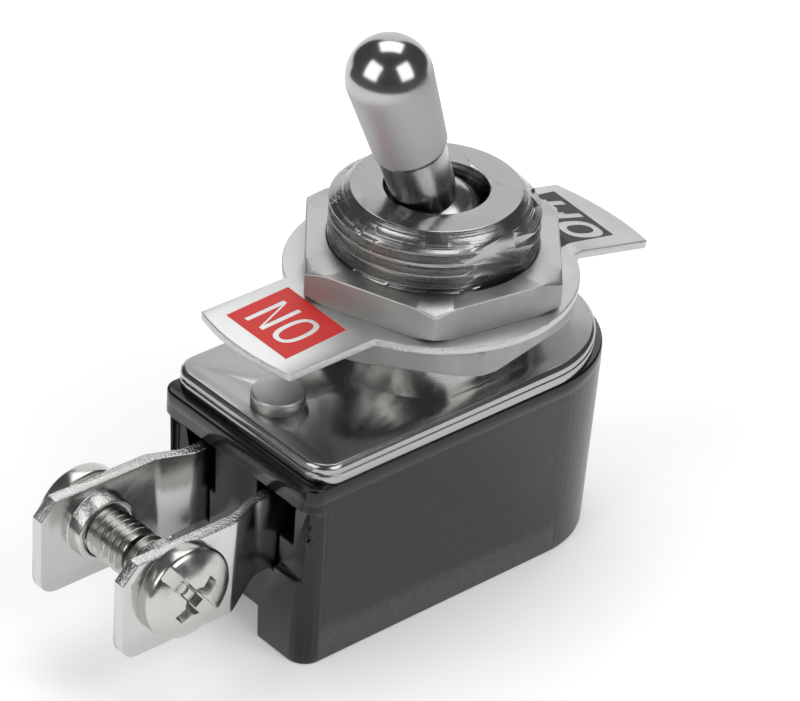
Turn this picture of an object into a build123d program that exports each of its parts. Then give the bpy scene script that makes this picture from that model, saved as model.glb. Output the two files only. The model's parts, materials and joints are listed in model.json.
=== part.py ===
"""Panel-mounted toggle switch, bat lever, threaded bushing, two screw terminals.

All sizes in mm. The bushing's axis is the Z axis and Z = 0 is the flat bottom of the housing.
The lever is built in its ON position, leaning towards -X, and the terminals leave at -X.
"""
import os
from math import cos, pi, radians, sin, sqrt

from build123d import *

os.makedirs("parts", exist_ok=True)

# ---- driving dimensions: heights -----------------------------------------------------------------
HOUSING_H = 12.5          # bottom to the rim's top face
RIM_T = 1.5               # moulded rim
SHEET_T = 0.6             # each of the two cover sheets
Z_RIM = HOUSING_H - RIM_T
Z_TOP = HOUSING_H + 2 * SHEET_T   # top face of the cover, 13.7
COLLAR_PLAIN_H = 2.5      # plain collar of the bushing, under the lower nut
NUT_T = 1.95
PLATE_T = 0.5             # indicator plate
BUSH_H = 10.15            # bushing above the cover
LOWER_NUT_Z = Z_TOP + COLLAR_PLAIN_H
Z_PLATE = LOWER_NUT_Z + NUT_T
UPPER_NUT_Z = Z_PLATE + PLATE_T
Z_BUSH = Z_TOP + BUSH_H

# ---- driving dimensions: plan --------------------------------------------------------------------
HALF_W = 6.65             # half width of cover and rim
COVER_X0 = -13.2          # square end of the cover
COVER_CX = 4.1            # centre of the cover's round end
RIM_OUT = 0.66            # rim past the cover at the square end
RIM_SHIFT = 0.65          # rim past the cover at the round end
BODY_OUT = 0.2            # the same for the body at its bottom
BODY_SHIFT = 1.2
BODY_IN = 0.7             # body narrower than the cover at its bottom, each side
RIM_X0 = COVER_X0 - RIM_OUT
RIM_CX = COVER_CX + RIM_SHIFT
BODY_X0 = COVER_X0 - BODY_OUT
BODY_CX = COVER_CX + BODY_SHIFT
BODY_HW = HALF_W - BODY_IN
DRAFT = 1.7               # degrees, wider towards the rim
COVER_CORNER = 1.5
COVER_EDGE = 0.2          # rolled-over edge of the top sheet, from its punching
RIM_CORNER = 1.0
BODY_CORNER = 1.2         # near side
BODY_CORNER_FAR = 0.35    # +Y side

# ---- inside and square end of the housing --------------------------------------------------------
FLOOR = 1.5
WALL = 2.15               # beside the cavity, at the rim
END_WALL = 1.1            # from the cover's square end to the cavity
CAVITY_SHIFT = 2.2        # the cavity ends this far past the centre of the round end
CAVITY_X0 = COVER_X0 + END_WALL
CAVITY_X1 = COVER_CX + CAVITY_SHIFT
CAVITY_HW = HALF_W - WALL
RIVET_IN = 2.35           # rivets, from each end of the cover
RIVET_X = COVER_X0 + RIVET_IN
RIVET_REAR_X = COVER_CX + HALF_W - RIVET_IN
BOSS_HW = 1.85            # rivet boss
BOSS_X1 = RIVET_X + BOSS_HW
SEAT_LAND = 0.8           # seat of the insulating sheet, wider than the cavity
SEAT_IN = 0.2             # but it starts this far inside the cavity's square end
SEAT_X0 = CAVITY_X0 + SEAT_IN
SEAT_X1 = CAVITY_X1 + SEAT_LAND
SEAT_HW = CAVITY_HW + SEAT_LAND
SEAT_DEPTH = 0.4
SEAT_CLEAR = 0.1          # play of the sheet in its seat
INSULATOR_T = 0.35
INSULATOR_SLOT = 5.0      # width of the sheet's slot for the swing
REST_X0 = -4.6            # moulded rest under the rocker's OFF end
REST_X1 = -3.8
REST_Z = 9.72
WINDOW_Y1 = 4.55          # terminal windows, from the boss to here
WINDOW_D0 = 2.95          # upper and lower edge, below the cover's top face
WINDOW_D1 = 5.85
SLOT_PLAY = 0.1           # strip to the narrower slot under each window
SLOT_D1 = 8.2
POCKET_Y1 = 5.75          # outer edge of the shallow pocket beside each window
POCKET_D0 = 3.0
POCKET_D1 = 7.9
POCKET_DEPTH = 0.61       # from the rim's square end
NOTCH_HW = 2.0            # notch in the foot
NOTCH_H = 2.15
NOTCH_DEPTH = 2.86

# ---- bushing and nuts ----------------------------------------------------------------------------
BUSH_R = 6.0              # 12 mm thread, crest radius
BUSH_CHAMFER_H = 1.2
BUSH_CHAMFER_IN = 1.17
BUSH_BORE_R = 2.98
FLAT_IN = 0.65            # depth of the long flat on the -Y side
SHOULDER_IN = 0.6         # spigot through the cover, smaller than the collar
BUSH_FLAT = BUSH_R - FLAT_IN
SPIGOT_R = BUSH_R - SHOULDER_IN
THREAD_PITCH = 0.75
PITCH_R = BUSH_R - 0.3248 * THREAD_PITCH   # where nut and bushing meet
NUT_LEAD = 0.12           # first full crest above the upper nut
THREAD_OUT_Z = UPPER_NUT_Z + NUT_T + NUT_LEAD
SWING_HW = 2.3            # half width of the slot for the lower arm
SWING_IN = 0.65           # its end is this far inside the spigot
SWING_HALF = SPIGOT_R - SWING_IN
SWING_RISE = 1.2
SWING_TOP = 1.8           # below the ball's centre
NUT_AF = 14.2
NUT_VERTEX_UP = -10.4     # turn of the upper nut, degrees
NUT_VERTEX_LOW = 10.1     # turn of the lower nut
NUT_CHAMFER = 0.4         # height of the turned chamfer at each corner
NUT_FACE_OUT = 0.5        # the flat face reaches this far past the flats, into the corners
NUT_CORNER_OUT = 0.2      # the turned profile passes this far outside the corners

# ---- indicator plate -----------------------------------------------------------------------------
DISC_R = 8.35
PLATE_CLEAR = 0.1
TAB_HW = 3.85
TAB_R_ON = 13.9
TAB_R_OFF = 13.9
TAB_BEND = 13.0           # degrees, the OFF tab points down
BEND_X = 8.0
ROOT_X = 6.6              # the bent tab's root starts here

# ---- lever ---------------------------------------------------------------------------------------
PIVOT_H = 7.7             # ball's centre above the cover
PIVOT_Z = Z_TOP + PIVOT_H
THROW = 20.6              # degrees each side of upright
BALL_CLEAR = 0.08
BALL_R = BUSH_BORE_R - BALL_CLEAR
BALL_CUT = 1.45           # the ball runs into a cone this far below its centre
CONE_S = 3.4              # where the cone meets the arm
NECK_R = 1.8              # where the neck leaves the ball
NECK_TOP_R = 1.95         # under the shoulder
SHOULDER_S = 6.35         # distance from the ball's centre to the bat's shoulder
SHOULDER_R = 2.10
SHOULDER_RISE = 0.2       # cone between neck and bat
TIP_S = 11.4              # centre of the tip's sphere
TIP_R = 2.42
ARM_R = 1.65              # hollow lower arm
ARM_BORE_R = 1.15
ARM_S = 7.0
ARM_BORE_TOP = 2.2
PIN_R = 0.75
PIN_IN = 0.92             # length of the pin in each groove
PIN_HALF = BUSH_BORE_R + PIN_IN
PIN_EDGE = 0.12
PIN_PLAY = 0.1            # at each end of the pin
RUN_CLEAR = 0.05          # radial running clearance of pins, plunger and trunnions

# ---- plunger and rocker --------------------------------------------------------------------------
PLUNGER_R = ARM_BORE_R - RUN_CLEAR
PLUNGER_TIP = 10.4        # ball centre to the centre of the plunger's round tip
PLUNGER_TOP = 5.6
WIRE_HALF = 0.12          # half thickness of the spring's flat-sided wire
COIL_CLEAR = 0.06         # wire to bore
COIL_TURNS = 3.5
COIL_PLAY = 0.02          # at each end of the spring
TRACK_CLEAR = 0.06        # plunger tip to rocker track
ROCKER_TILT = 8.0         # degrees each side of level
ROCKER_T = 0.6
ROCKER_HW = 1.3
ROCKER_HALF = 4.5
TRUNNION_R = 0.45
TRUNNION_END = 0.05       # past the bracket's arms
ROCKER_Z = PIVOT_Z - PLUNGER_TIP - PLUNGER_R - TRACK_CLEAR - ROCKER_T / 2

# ---- contacts and fulcrum bracket ----------------------------------------------------------------
CONTACT_ANGLE = 26.3      # place of the moving contact round the rocker's arc
CONTACT_R = 0.95
CONTACT_H = 0.45
CONTACT_EDGE = 0.2
CONTACT_SHANK_R = 0.5
CONTACT_GAP = 0.02        # between the closed contacts
FIXED_H = 0.5
BRACKET_T = 0.5
BRACKET_HALF = 1.2        # half length of the bracket
ARM_Y0 = ROCKER_HW + 0.1  # inner faces of its arms
ARM_Y1 = ARM_Y0 + BRACKET_T
ARM_OVER = 0.35           # arms end this far above the trunnion's axis

# ---- terminals and screws ------------------------------------------------------------------------
STRIP_T = 0.8
STRIP_D0 = 3.15           # edges, below the cover's top face
STRIP_D1 = 9.2
NECK_D1 = 8.1
STRIP_TOP = Z_TOP - STRIP_D0
STRIP_BOTTOM = Z_TOP - STRIP_D1
NECK_BOTTOM = Z_TOP - NECK_D1
STRIP_IN = 2.45           # inner face of each strip inside the body
STRIP_OUT = 3.25          # inner face of each strip outside, past the joggle
STRIP_X1_FAR = 5.2        # inner end of the far strip
JOGGLE_OUT = 0.74         # the joggle starts this far outside the rim
JOGGLE_L = 2.0
TONGUE_L = 8.0            # flat screw tongue past the joggle
JOGGLE_X1 = RIM_X0 - JOGGLE_OUT
JOGGLE_X0 = JOGGLE_X1 - JOGGLE_L
STRIP_X0 = JOGGLE_X0 - TONGUE_L
JOGGLE_SHIFT = 0.35       # outer side of the joggle starts this much earlier
JOGGLE_R = 1.3
CLIP = 1.0                # clipped top corner
LOW_CORNER_R = 1.1
SHOULDER_L = 2.4          # from the neck down to the tongue's full height
SHOULDER_FILLET = 1.2
FOOT_HALF = 1.5           # foot of the near strip, under the bracket; the strip ends with it
SHELF_HALF = 1.3          # shelf of the far strip, under the fixed contact
SCREW_IN = 3.75           # from the strip's outer end
SCREW_X = STRIP_X0 + SCREW_IN
SCREW_D = 5.65
SCREW_Z = Z_TOP - SCREW_D
SCREW_R = 1.5             # M3
SCREW_CLEAR = 0.06
HEAD_R = 2.8
HEAD_H = 1.85
HEAD_SIDE = 1.0           # straight side of the head
DOME_R = (HEAD_R**2 + (HEAD_H - HEAD_SIDE) ** 2) / (2 * (HEAD_H - HEAD_SIDE))
RECESS_L = 3.3
RECESS_W = 0.85
RECESS_DEPTH = 1.2
RECESS_TAPER = 14.0       # degrees
RECESS_TURN = 20.0
TIP_CHAMFER = 0.4
COLLAR_R = 1.95
COLLAR_H = 1.1
SCREW_TIP_FAR = -0.6      # where each screw ends, along Y
SCREW_TIP_NEAR = -1.0

RIVET_R = 1.0
RIVET_HEAD_R = 1.55
RIVET_HEAD_H = 0.9
RIVET_EDGE = 0.18
RIVET_L = 6.5
RIVET_HOLE_L = 5.8        # below the rim's top face


def save(part, name):
    """Label a finished solid and write its own file."""
    part.label = name
    export_step(part, "parts/" + name + ".step")


def d_outline(x0, cx, half, corner, far_corner):
    """Square at the -X end with rounded corners, half round at the +X end."""
    with BuildSketch() as outline:
        with Locations(((x0 + cx) / 2, 0)):
            Rectangle(cx - x0, 2 * half)
        square_end = outline.vertices().group_by(Axis.X)[0]
        fillet(square_end.sort_by(Axis.Y)[0], corner)
        square_end = outline.vertices().group_by(Axis.X)[0]
        fillet(square_end.sort_by(Axis.Y)[-1], far_corner)
        with Locations((cx, 0)):
            Circle(half)
    return outline.sketch


def block(low, high, mode=Mode.ADD):
    """Rectangle between two opposite corners, in the sketch that is open."""
    with Locations(((low[0] + high[0]) / 2, (low[1] + high[1]) / 2)):
        Rectangle(high[0] - low[0], high[1] - low[1], mode=mode)


def tilted(part, degrees_y, pivot_z):
    """Turn a solid about the Y line through the given height."""
    about = Location((0, 0, pivot_z)) * Rotation(0, degrees_y, 0) * Location((0, 0, -pivot_z))
    return about * part


# ==== housing: moulded body with rim, terminal windows, rivet bosses and a foot notch ==============
with BuildPart() as housing:
    add(d_outline(BODY_X0, BODY_CX, BODY_HW, BODY_CORNER, BODY_CORNER_FAR))
    extrude(amount=Z_RIM, taper=-DRAFT)
    with BuildSketch(Plane.XY.offset(Z_RIM)):
        add(d_outline(RIM_X0, RIM_CX, HALF_W, RIM_CORNER, RIM_CORNER))
    extrude(amount=RIM_T)
    # cavity, open at the top
    with BuildSketch(Plane.XY.offset(FLOOR)):
        block((CAVITY_X0, -CAVITY_HW), (CAVITY_X1, CAVITY_HW))
    extrude(amount=HOUSING_H - FLOOR, mode=Mode.SUBTRACT)
    # rivet boss between the two terminal windows, and a rest for the rocker's OFF end
    with BuildSketch(Plane.XY.offset(FLOOR)):
        block((CAVITY_X0, -BOSS_HW), (BOSS_X1, BOSS_HW))
    extrude(amount=HOUSING_H - FLOOR)
    with BuildSketch(Plane.XY.offset(FLOOR)):
        block((REST_X0, -ROCKER_HW), (REST_X1, ROCKER_HW))
    extrude(amount=REST_Z - FLOOR)
    # seat for the insulating sheet
    with BuildSketch(Plane.XY.offset(HOUSING_H - SEAT_DEPTH)):
        block((SEAT_X0, -SEAT_HW), (SEAT_X1, SEAT_HW))
    extrude(amount=SEAT_DEPTH, mode=Mode.SUBTRACT)
    # each terminal window is wide at the top, with a narrower slot for the strip below it
    SLOT_Y1 = STRIP_IN + STRIP_T + SLOT_PLAY
    with BuildSketch(Plane.YZ.offset(RIM_X0)) as windows:
        block((BOSS_HW, Z_TOP - WINDOW_D1), (WINDOW_Y1, Z_TOP - WINDOW_D0))
        block((STRIP_IN - SLOT_PLAY, Z_TOP - SLOT_D1), (SLOT_Y1, Z_TOP - WINDOW_D1))
        mirror(about=Plane.YZ)
    extrude(amount=CAVITY_X0 - RIM_X0, mode=Mode.SUBTRACT)
    # shallow pockets beside the windows
    with BuildSketch(Plane.YZ.offset(RIM_X0)) as pockets:
        block((SLOT_Y1, Z_TOP - POCKET_D1), (POCKET_Y1, Z_TOP - POCKET_D0))
        mirror(about=Plane.YZ)
    extrude(amount=POCKET_DEPTH, mode=Mode.SUBTRACT)
    # notch in the foot of the square end
    with BuildSketch(Plane.YZ.offset(RIM_X0)):
        block((-NOTCH_HW, 0), (NOTCH_HW, NOTCH_H))
    extrude(amount=NOTCH_DEPTH, mode=Mode.SUBTRACT)
    # rivet holes
    with BuildSketch(Plane.XY.offset(HOUSING_H)):
        with Locations((RIVET_X, 0), (RIVET_REAR_X, 0)):
            Circle(RIVET_R)
    extrude(amount=-RIVET_HOLE_L, mode=Mode.SUBTRACT)
save(housing.part, "housing")

# ==== cover: two stacked sheets and an insulating sheet under them =================================
for name, z_low in (("cover_plate", HOUSING_H + SHEET_T), ("backing_plate", HOUSING_H)):
    with BuildPart() as sheet:
        with BuildSketch(Plane.XY.offset(z_low)):
            add(d_outline(COVER_X0, COVER_CX, HALF_W, COVER_CORNER, COVER_CORNER))
            Circle(SPIGOT_R, mode=Mode.SUBTRACT)
            with Locations((RIVET_X, 0), (RIVET_REAR_X, 0)):
                Circle(RIVET_R, mode=Mode.SUBTRACT)
        extrude(amount=SHEET_T)
        if name == "cover_plate":
            top_face = sheet.faces().sort_by(Axis.Z)[-1]
            chamfer(top_face.outer_wire().edges(), COVER_EDGE)
    save(sheet.part, name)

with BuildPart() as insulating_sheet:
    with BuildSketch(Plane.XY.offset(HOUSING_H - INSULATOR_T)):
        block((SEAT_X0 + SEAT_CLEAR, SEAT_CLEAR - SEAT_HW), (SEAT_X1 - SEAT_CLEAR, SEAT_HW - SEAT_CLEAR))
        SlotOverall(2 * SEAT_HW - SHEET_T, INSULATOR_SLOT, mode=Mode.SUBTRACT)
        with Locations((RIVET_X, 0)):
            Circle(RIVET_R + SEAT_CLEAR, mode=Mode.SUBTRACT)
    extrude(amount=INSULATOR_T)
save(insulating_sheet.part, "insulating_sheet")

# ==== bushing: thread blank with a top chamfer, a long flat, a ball bore and a slot for the swing ==
# The thread is drawn at its crest above the nuts, and at the pitch line where the nuts hold it.
with BuildPart() as bushing:
    with BuildSketch(Plane.XZ) as profile:
        with BuildLine():
            Polyline(
                (0, HOUSING_H),
                (SPIGOT_R, HOUSING_H),
                (SPIGOT_R, Z_TOP),
                (BUSH_R, Z_TOP),
                (BUSH_R, LOWER_NUT_Z),
                (PITCH_R, LOWER_NUT_Z),
                (PITCH_R, THREAD_OUT_Z),
                (BUSH_R, THREAD_OUT_Z),
                (BUSH_R, Z_BUSH - BUSH_CHAMFER_H),
                (BUSH_R - BUSH_CHAMFER_IN, Z_BUSH),
                (0, Z_BUSH),
                close=True,
            )
        make_face()
    revolve(axis=Axis.Z)
    # long flat on the -Y side
    with BuildSketch(Plane.XY.offset(Z_TOP)):
        block((-BUSH_R, -BUSH_R), (BUSH_R, -BUSH_FLAT))
    extrude(amount=Z_BUSH - Z_TOP, mode=Mode.SUBTRACT)
    # bore for the ball
    with BuildSketch(Plane.XY.offset(Z_BUSH)):
        Circle(BUSH_BORE_R)
    extrude(amount=HOUSING_H - Z_BUSH, mode=Mode.SUBTRACT)
    # swing slot for the lower arm, wider towards the bottom
    with BuildSketch(Plane.XZ) as swing:
        with BuildLine():
            Polyline(
                (-SWING_HALF, HOUSING_H),
                (SWING_HALF, HOUSING_H),
                (SWING_HALF, Z_TOP + SWING_RISE),
                (BUSH_BORE_R, PIVOT_Z - SWING_TOP),
                (-BUSH_BORE_R, PIVOT_Z - SWING_TOP),
                (-SWING_HALF, Z_TOP + SWING_RISE),
                close=True,
            )
        make_face()
    extrude(amount=SWING_HW, both=True, mode=Mode.SUBTRACT)
    # grooves for the pin's ends, open at the bottom
    with BuildSketch(Plane.XZ) as grooves:
        with Locations((0, PIVOT_Z)):
            Circle(PIN_R + RUN_CLEAR)
        block((-PIN_R - RUN_CLEAR, HOUSING_H), (PIN_R + RUN_CLEAR, PIVOT_Z))
    extrude(amount=PIN_HALF + PIN_PLAY, both=True, mode=Mode.SUBTRACT)
save(bushing.part, "bushing")

# ==== nuts: thin hexagons, both faces turned down at the corners, bored to the pitch line ==========
for name, z_low, turn in (("lower_nut", LOWER_NUT_Z, NUT_VERTEX_LOW), ("upper_nut", UPPER_NUT_Z, NUT_VERTEX_UP)):
    with BuildPart() as nut:
        with BuildSketch(Plane.XY.offset(z_low)):
            RegularPolygon(NUT_AF / 2, 6, major_radius=False, rotation=turn)
        extrude(amount=NUT_T)
        face_r = NUT_AF / 2 + NUT_FACE_OUT
        corner_r = NUT_AF / 2 / cos(pi / 6) + NUT_CORNER_OUT
        with BuildSketch(Plane.XZ) as turned:
            with BuildLine():
                Polyline(
                    (0, z_low),
                    (face_r, z_low),
                    (corner_r, z_low + NUT_CHAMFER),
                    (corner_r, z_low + NUT_T - NUT_CHAMFER),
                    (face_r, z_low + NUT_T),
                    (0, z_low + NUT_T),
                    close=True,
                )
            make_face()
        revolve(axis=Axis.Z, mode=Mode.INTERSECT)
        with BuildSketch(Plane.XY.offset(z_low)):
            Circle(PITCH_R)
        extrude(amount=NUT_T, mode=Mode.SUBTRACT)
    save(nut.part, name)

# ==== indicator plate: a ring with two fan tabs, one of them bent down a little ====================


def fan_tab(x_from, x_to, radius):
    """Sketch of a tab with straight sides, cut off round at its outer end."""
    with BuildSketch(mode=Mode.PRIVATE) as fan:
        Circle(radius)
        with Locations(((x_from + x_to) / 2, 0)):
            Rectangle(abs(x_to - x_from), 2 * TAB_HW, mode=Mode.INTERSECT)
    return fan.sketch


with BuildPart(mode=Mode.PRIVATE) as off_tab:
    with BuildSketch(Plane.XY.offset(Z_PLATE)):
        add(fan_tab(BEND_X, TAB_R_OFF, TAB_R_OFF))
    extrude(amount=PLATE_T)
bend_line = Location((BEND_X, 0, UPPER_NUT_Z))
bent_tab = bend_line * Rotation(0, TAB_BEND, 0) * bend_line.inverse() * off_tab.part
with BuildPart() as indicator_plate:
    with BuildSketch(Plane.XY.offset(Z_PLATE)):
        Circle(DISC_R)
        add(fan_tab(-TAB_R_ON, 0, TAB_R_ON))
        block((ROOT_X, -TAB_HW), (BEND_X, TAB_HW))
        Circle(BUSH_R + PLATE_CLEAR, mode=Mode.SUBTRACT)
    extrude(amount=PLATE_T)
    add(bent_tab)
save(indicator_plate.part, "indicator_plate")

# ==== lever: ball, neck, bat and a hollow lower arm, in the ON position ============================
ball_low_r = sqrt(BALL_R**2 - BALL_CUT**2)
ball_top = sqrt(BALL_R**2 - NECK_R**2)
with BuildPart() as lever:
    with BuildSketch(Plane.XZ) as half:
        with BuildLine():
            Polyline(
                (0, PIVOT_Z - ARM_S),
                (ARM_R, PIVOT_Z - ARM_S),
                (ARM_R, PIVOT_Z - CONE_S),
                (ball_low_r, PIVOT_Z - BALL_CUT),
            )
            ball_arc = RadiusArc((ball_low_r, PIVOT_Z - BALL_CUT), (NECK_R, PIVOT_Z + ball_top), -BALL_R)
            Polyline(
                ball_arc @ 1,
                (NECK_TOP_R, PIVOT_Z + SHOULDER_S - SHOULDER_RISE),
                (SHOULDER_R, PIVOT_Z + SHOULDER_S),
                (TIP_R, PIVOT_Z + TIP_S),
            )
            CenterArc((0, PIVOT_Z + TIP_S), TIP_R, 0, 90)
            Line((0, PIVOT_Z + TIP_S + TIP_R), (0, PIVOT_Z - ARM_S))
        make_face()
    revolve(axis=Axis.Z)
    with BuildSketch(Plane.XY.offset(PIVOT_Z - ARM_S)):
        Circle(ARM_BORE_R)
    extrude(amount=ARM_S - ARM_BORE_TOP, mode=Mode.SUBTRACT)
    with BuildSketch(Plane.XZ.offset(-PIN_HALF)):
        with Locations((0, PIVOT_Z)):
            Circle(PIN_R)
    extrude(amount=2 * PIN_HALF, mode=Mode.SUBTRACT)
save(tilted(lever.part, -THROW, PIVOT_Z), "lever")

with BuildPart() as pivot_pin:
    with BuildSketch(Plane.XZ.offset(-PIN_HALF)):
        with Locations((0, PIVOT_Z)):
            Circle(PIN_R)
    extrude(amount=2 * PIN_HALF)
    chamfer(pivot_pin.edges().filter_by(GeomType.CIRCLE), PIN_EDGE)
save(pivot_pin.part, "pivot_pin")

# ==== spring and plunger inside the lower arm ======================================================
with BuildPart() as lever_spring:
    coil_r = ARM_BORE_R - COIL_CLEAR - 2 * WIRE_HALF
    coil_low = PIVOT_Z - PLUNGER_TOP + COIL_PLAY + WIRE_HALF
    coil_high = PIVOT_Z - ARM_BORE_TOP - COIL_PLAY - WIRE_HALF
    coil_h = coil_high - coil_low
    with BuildLine() as coil:
        Helix(pitch=coil_h / COIL_TURNS, height=coil_h, radius=coil_r, center=(0, 0, coil_low))
    with BuildSketch(Plane(origin=coil.line @ 0, x_dir=(1, 0, 0), z_dir=coil.line % 0)):
        Rectangle(2 * WIRE_HALF, 2 * WIRE_HALF)
    sweep(is_frenet=True)
save(tilted(lever_spring.part, -THROW, PIVOT_Z), "lever_spring")

with BuildPart() as plunger:
    with BuildSketch(Plane.XZ):
        with BuildLine():
            tip_z = PIVOT_Z - PLUNGER_TIP
            Polyline((0, PIVOT_Z - PLUNGER_TOP), (PLUNGER_R, PIVOT_Z - PLUNGER_TOP), (PLUNGER_R, tip_z))
            CenterArc((0, tip_z), PLUNGER_R, 0, -90)
            Line((0, tip_z - PLUNGER_R), (0, PIVOT_Z - PLUNGER_TOP))
        make_face()
    revolve(axis=Axis.Z)
save(tilted(plunger.part, -THROW, PIVOT_Z), "plunger")

# ==== rocker: strip bent to the arc that the plunger's tip runs along ===============================
# The tip's path in the rocker's own frame is an arc, found from its place at full throw.
tip_x = PLUNGER_TIP * sin(radians(THROW))
tip_z = PIVOT_Z - PLUNGER_TIP * cos(radians(THROW)) - ROCKER_Z
roll = radians(ROCKER_TILT)
end_x = tip_x * cos(roll) - tip_z * sin(roll)
end_z = tip_x * sin(roll) + tip_z * cos(roll)
rise = end_z - (PIVOT_Z - PLUNGER_TIP - ROCKER_Z)
PATH_R = (end_x**2 + rise**2) / (2 * rise)
ARC_Z = PIVOT_Z - PLUNGER_TIP + PATH_R
TRACK_R = PATH_R + PLUNGER_R + TRACK_CLEAR
OUTER_R = TRACK_R + ROCKER_T
contact_turn = radians(CONTACT_ANGLE)
contact_plane = Plane(
    origin=(OUTER_R * sin(contact_turn), 0, ARC_Z - OUTER_R * cos(contact_turn)),
    x_dir=(0, 1, 0),
    z_dir=(sin(contact_turn), 0, -cos(contact_turn)),
)
with BuildPart() as rocker:
    with BuildSketch(Plane.XZ):
        with Locations((0, ARC_Z)):
            Circle(OUTER_R)
        block((-ROCKER_HALF, ARC_Z - OUTER_R), (ROCKER_HALF, ARC_Z - OUTER_R / 2), Mode.INTERSECT)
    extrude(amount=ROCKER_HW, both=True)
    with BuildSketch(Plane.XZ):
        with Locations((0, ROCKER_Z)):
            Circle(TRUNNION_R)
    extrude(amount=ARM_Y1 + TRUNNION_END, both=True)
    with BuildSketch(Plane.XZ):
        with Locations((0, ARC_Z)):
            Circle(TRACK_R)
    extrude(amount=ROCKER_HW, both=True, mode=Mode.SUBTRACT)
    # hole for the contact's shank
    with BuildSketch(contact_plane):
        Circle(CONTACT_SHANK_R)
    extrude(amount=-2 * ROCKER_T, mode=Mode.SUBTRACT)
save(tilted(rocker.part, ROCKER_TILT, ROCKER_Z), "rocker")

with BuildPart() as moving_contact:
    with BuildSketch(contact_plane):
        Circle(CONTACT_R)
    extrude(amount=CONTACT_H)
    chamfer(moving_contact.faces().sort_by(Axis.Z)[0].edges(), CONTACT_EDGE)
    with BuildSketch(contact_plane):
        Circle(CONTACT_SHANK_R)
    extrude(amount=RUN_CLEAR - ROCKER_T)
moving = tilted(moving_contact.part, ROCKER_TILT, ROCKER_Z)
save(moving, "moving_contact")

# ==== fulcrum bracket: folded sheet with two notched arms ==========================================
FOOT_Z = FLOOR + STRIP_T
with BuildPart() as fulcrum:
    with BuildSketch(Plane.YZ.offset(-BRACKET_HALF)) as folded:
        block((-ARM_Y1, FOOT_Z), (ARM_Y1, FOOT_Z + BRACKET_T))
        block((ARM_Y0, FOOT_Z), (ARM_Y1, ROCKER_Z + ARM_OVER))
        block((-ARM_Y1, FOOT_Z), (-ARM_Y0, ROCKER_Z + ARM_OVER))
    extrude(amount=2 * BRACKET_HALF)
    with BuildSketch(Plane.XZ):
        with Locations((0, ROCKER_Z)):
            Circle(TRUNNION_R + RUN_CLEAR)
        block((-TRUNNION_R - RUN_CLEAR, ROCKER_Z), (TRUNNION_R + RUN_CLEAR, ROCKER_Z + 2 * ARM_OVER))
    extrude(amount=ARM_Y1 + RUN_CLEAR, both=True, mode=Mode.SUBTRACT)
save(fulcrum.part, "fulcrum")

# ==== fixed contact: under the moving one when the switch is closed ================================
closed = moving.bounding_box()
SHELF_Z = closed.min.Z - CONTACT_GAP - FIXED_H
SHELF_X = closed.center().X - RIVET_EDGE
with BuildPart() as fixed_contact:
    with BuildSketch(Plane.XY.offset(SHELF_Z)):
        with Locations((SHELF_X, 0)):
            Circle(CONTACT_R)
    extrude(amount=FIXED_H)
    with BuildSketch(Plane.XY.offset(SHELF_Z)):
        with Locations((SHELF_X, 0)):
            Circle(CONTACT_SHANK_R)
    extrude(amount=-STRIP_T)
save(fixed_contact.part, "fixed_contact")

# ==== terminals: bent strips with a joggle, a shoulder and an extruded screw collar ================


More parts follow.
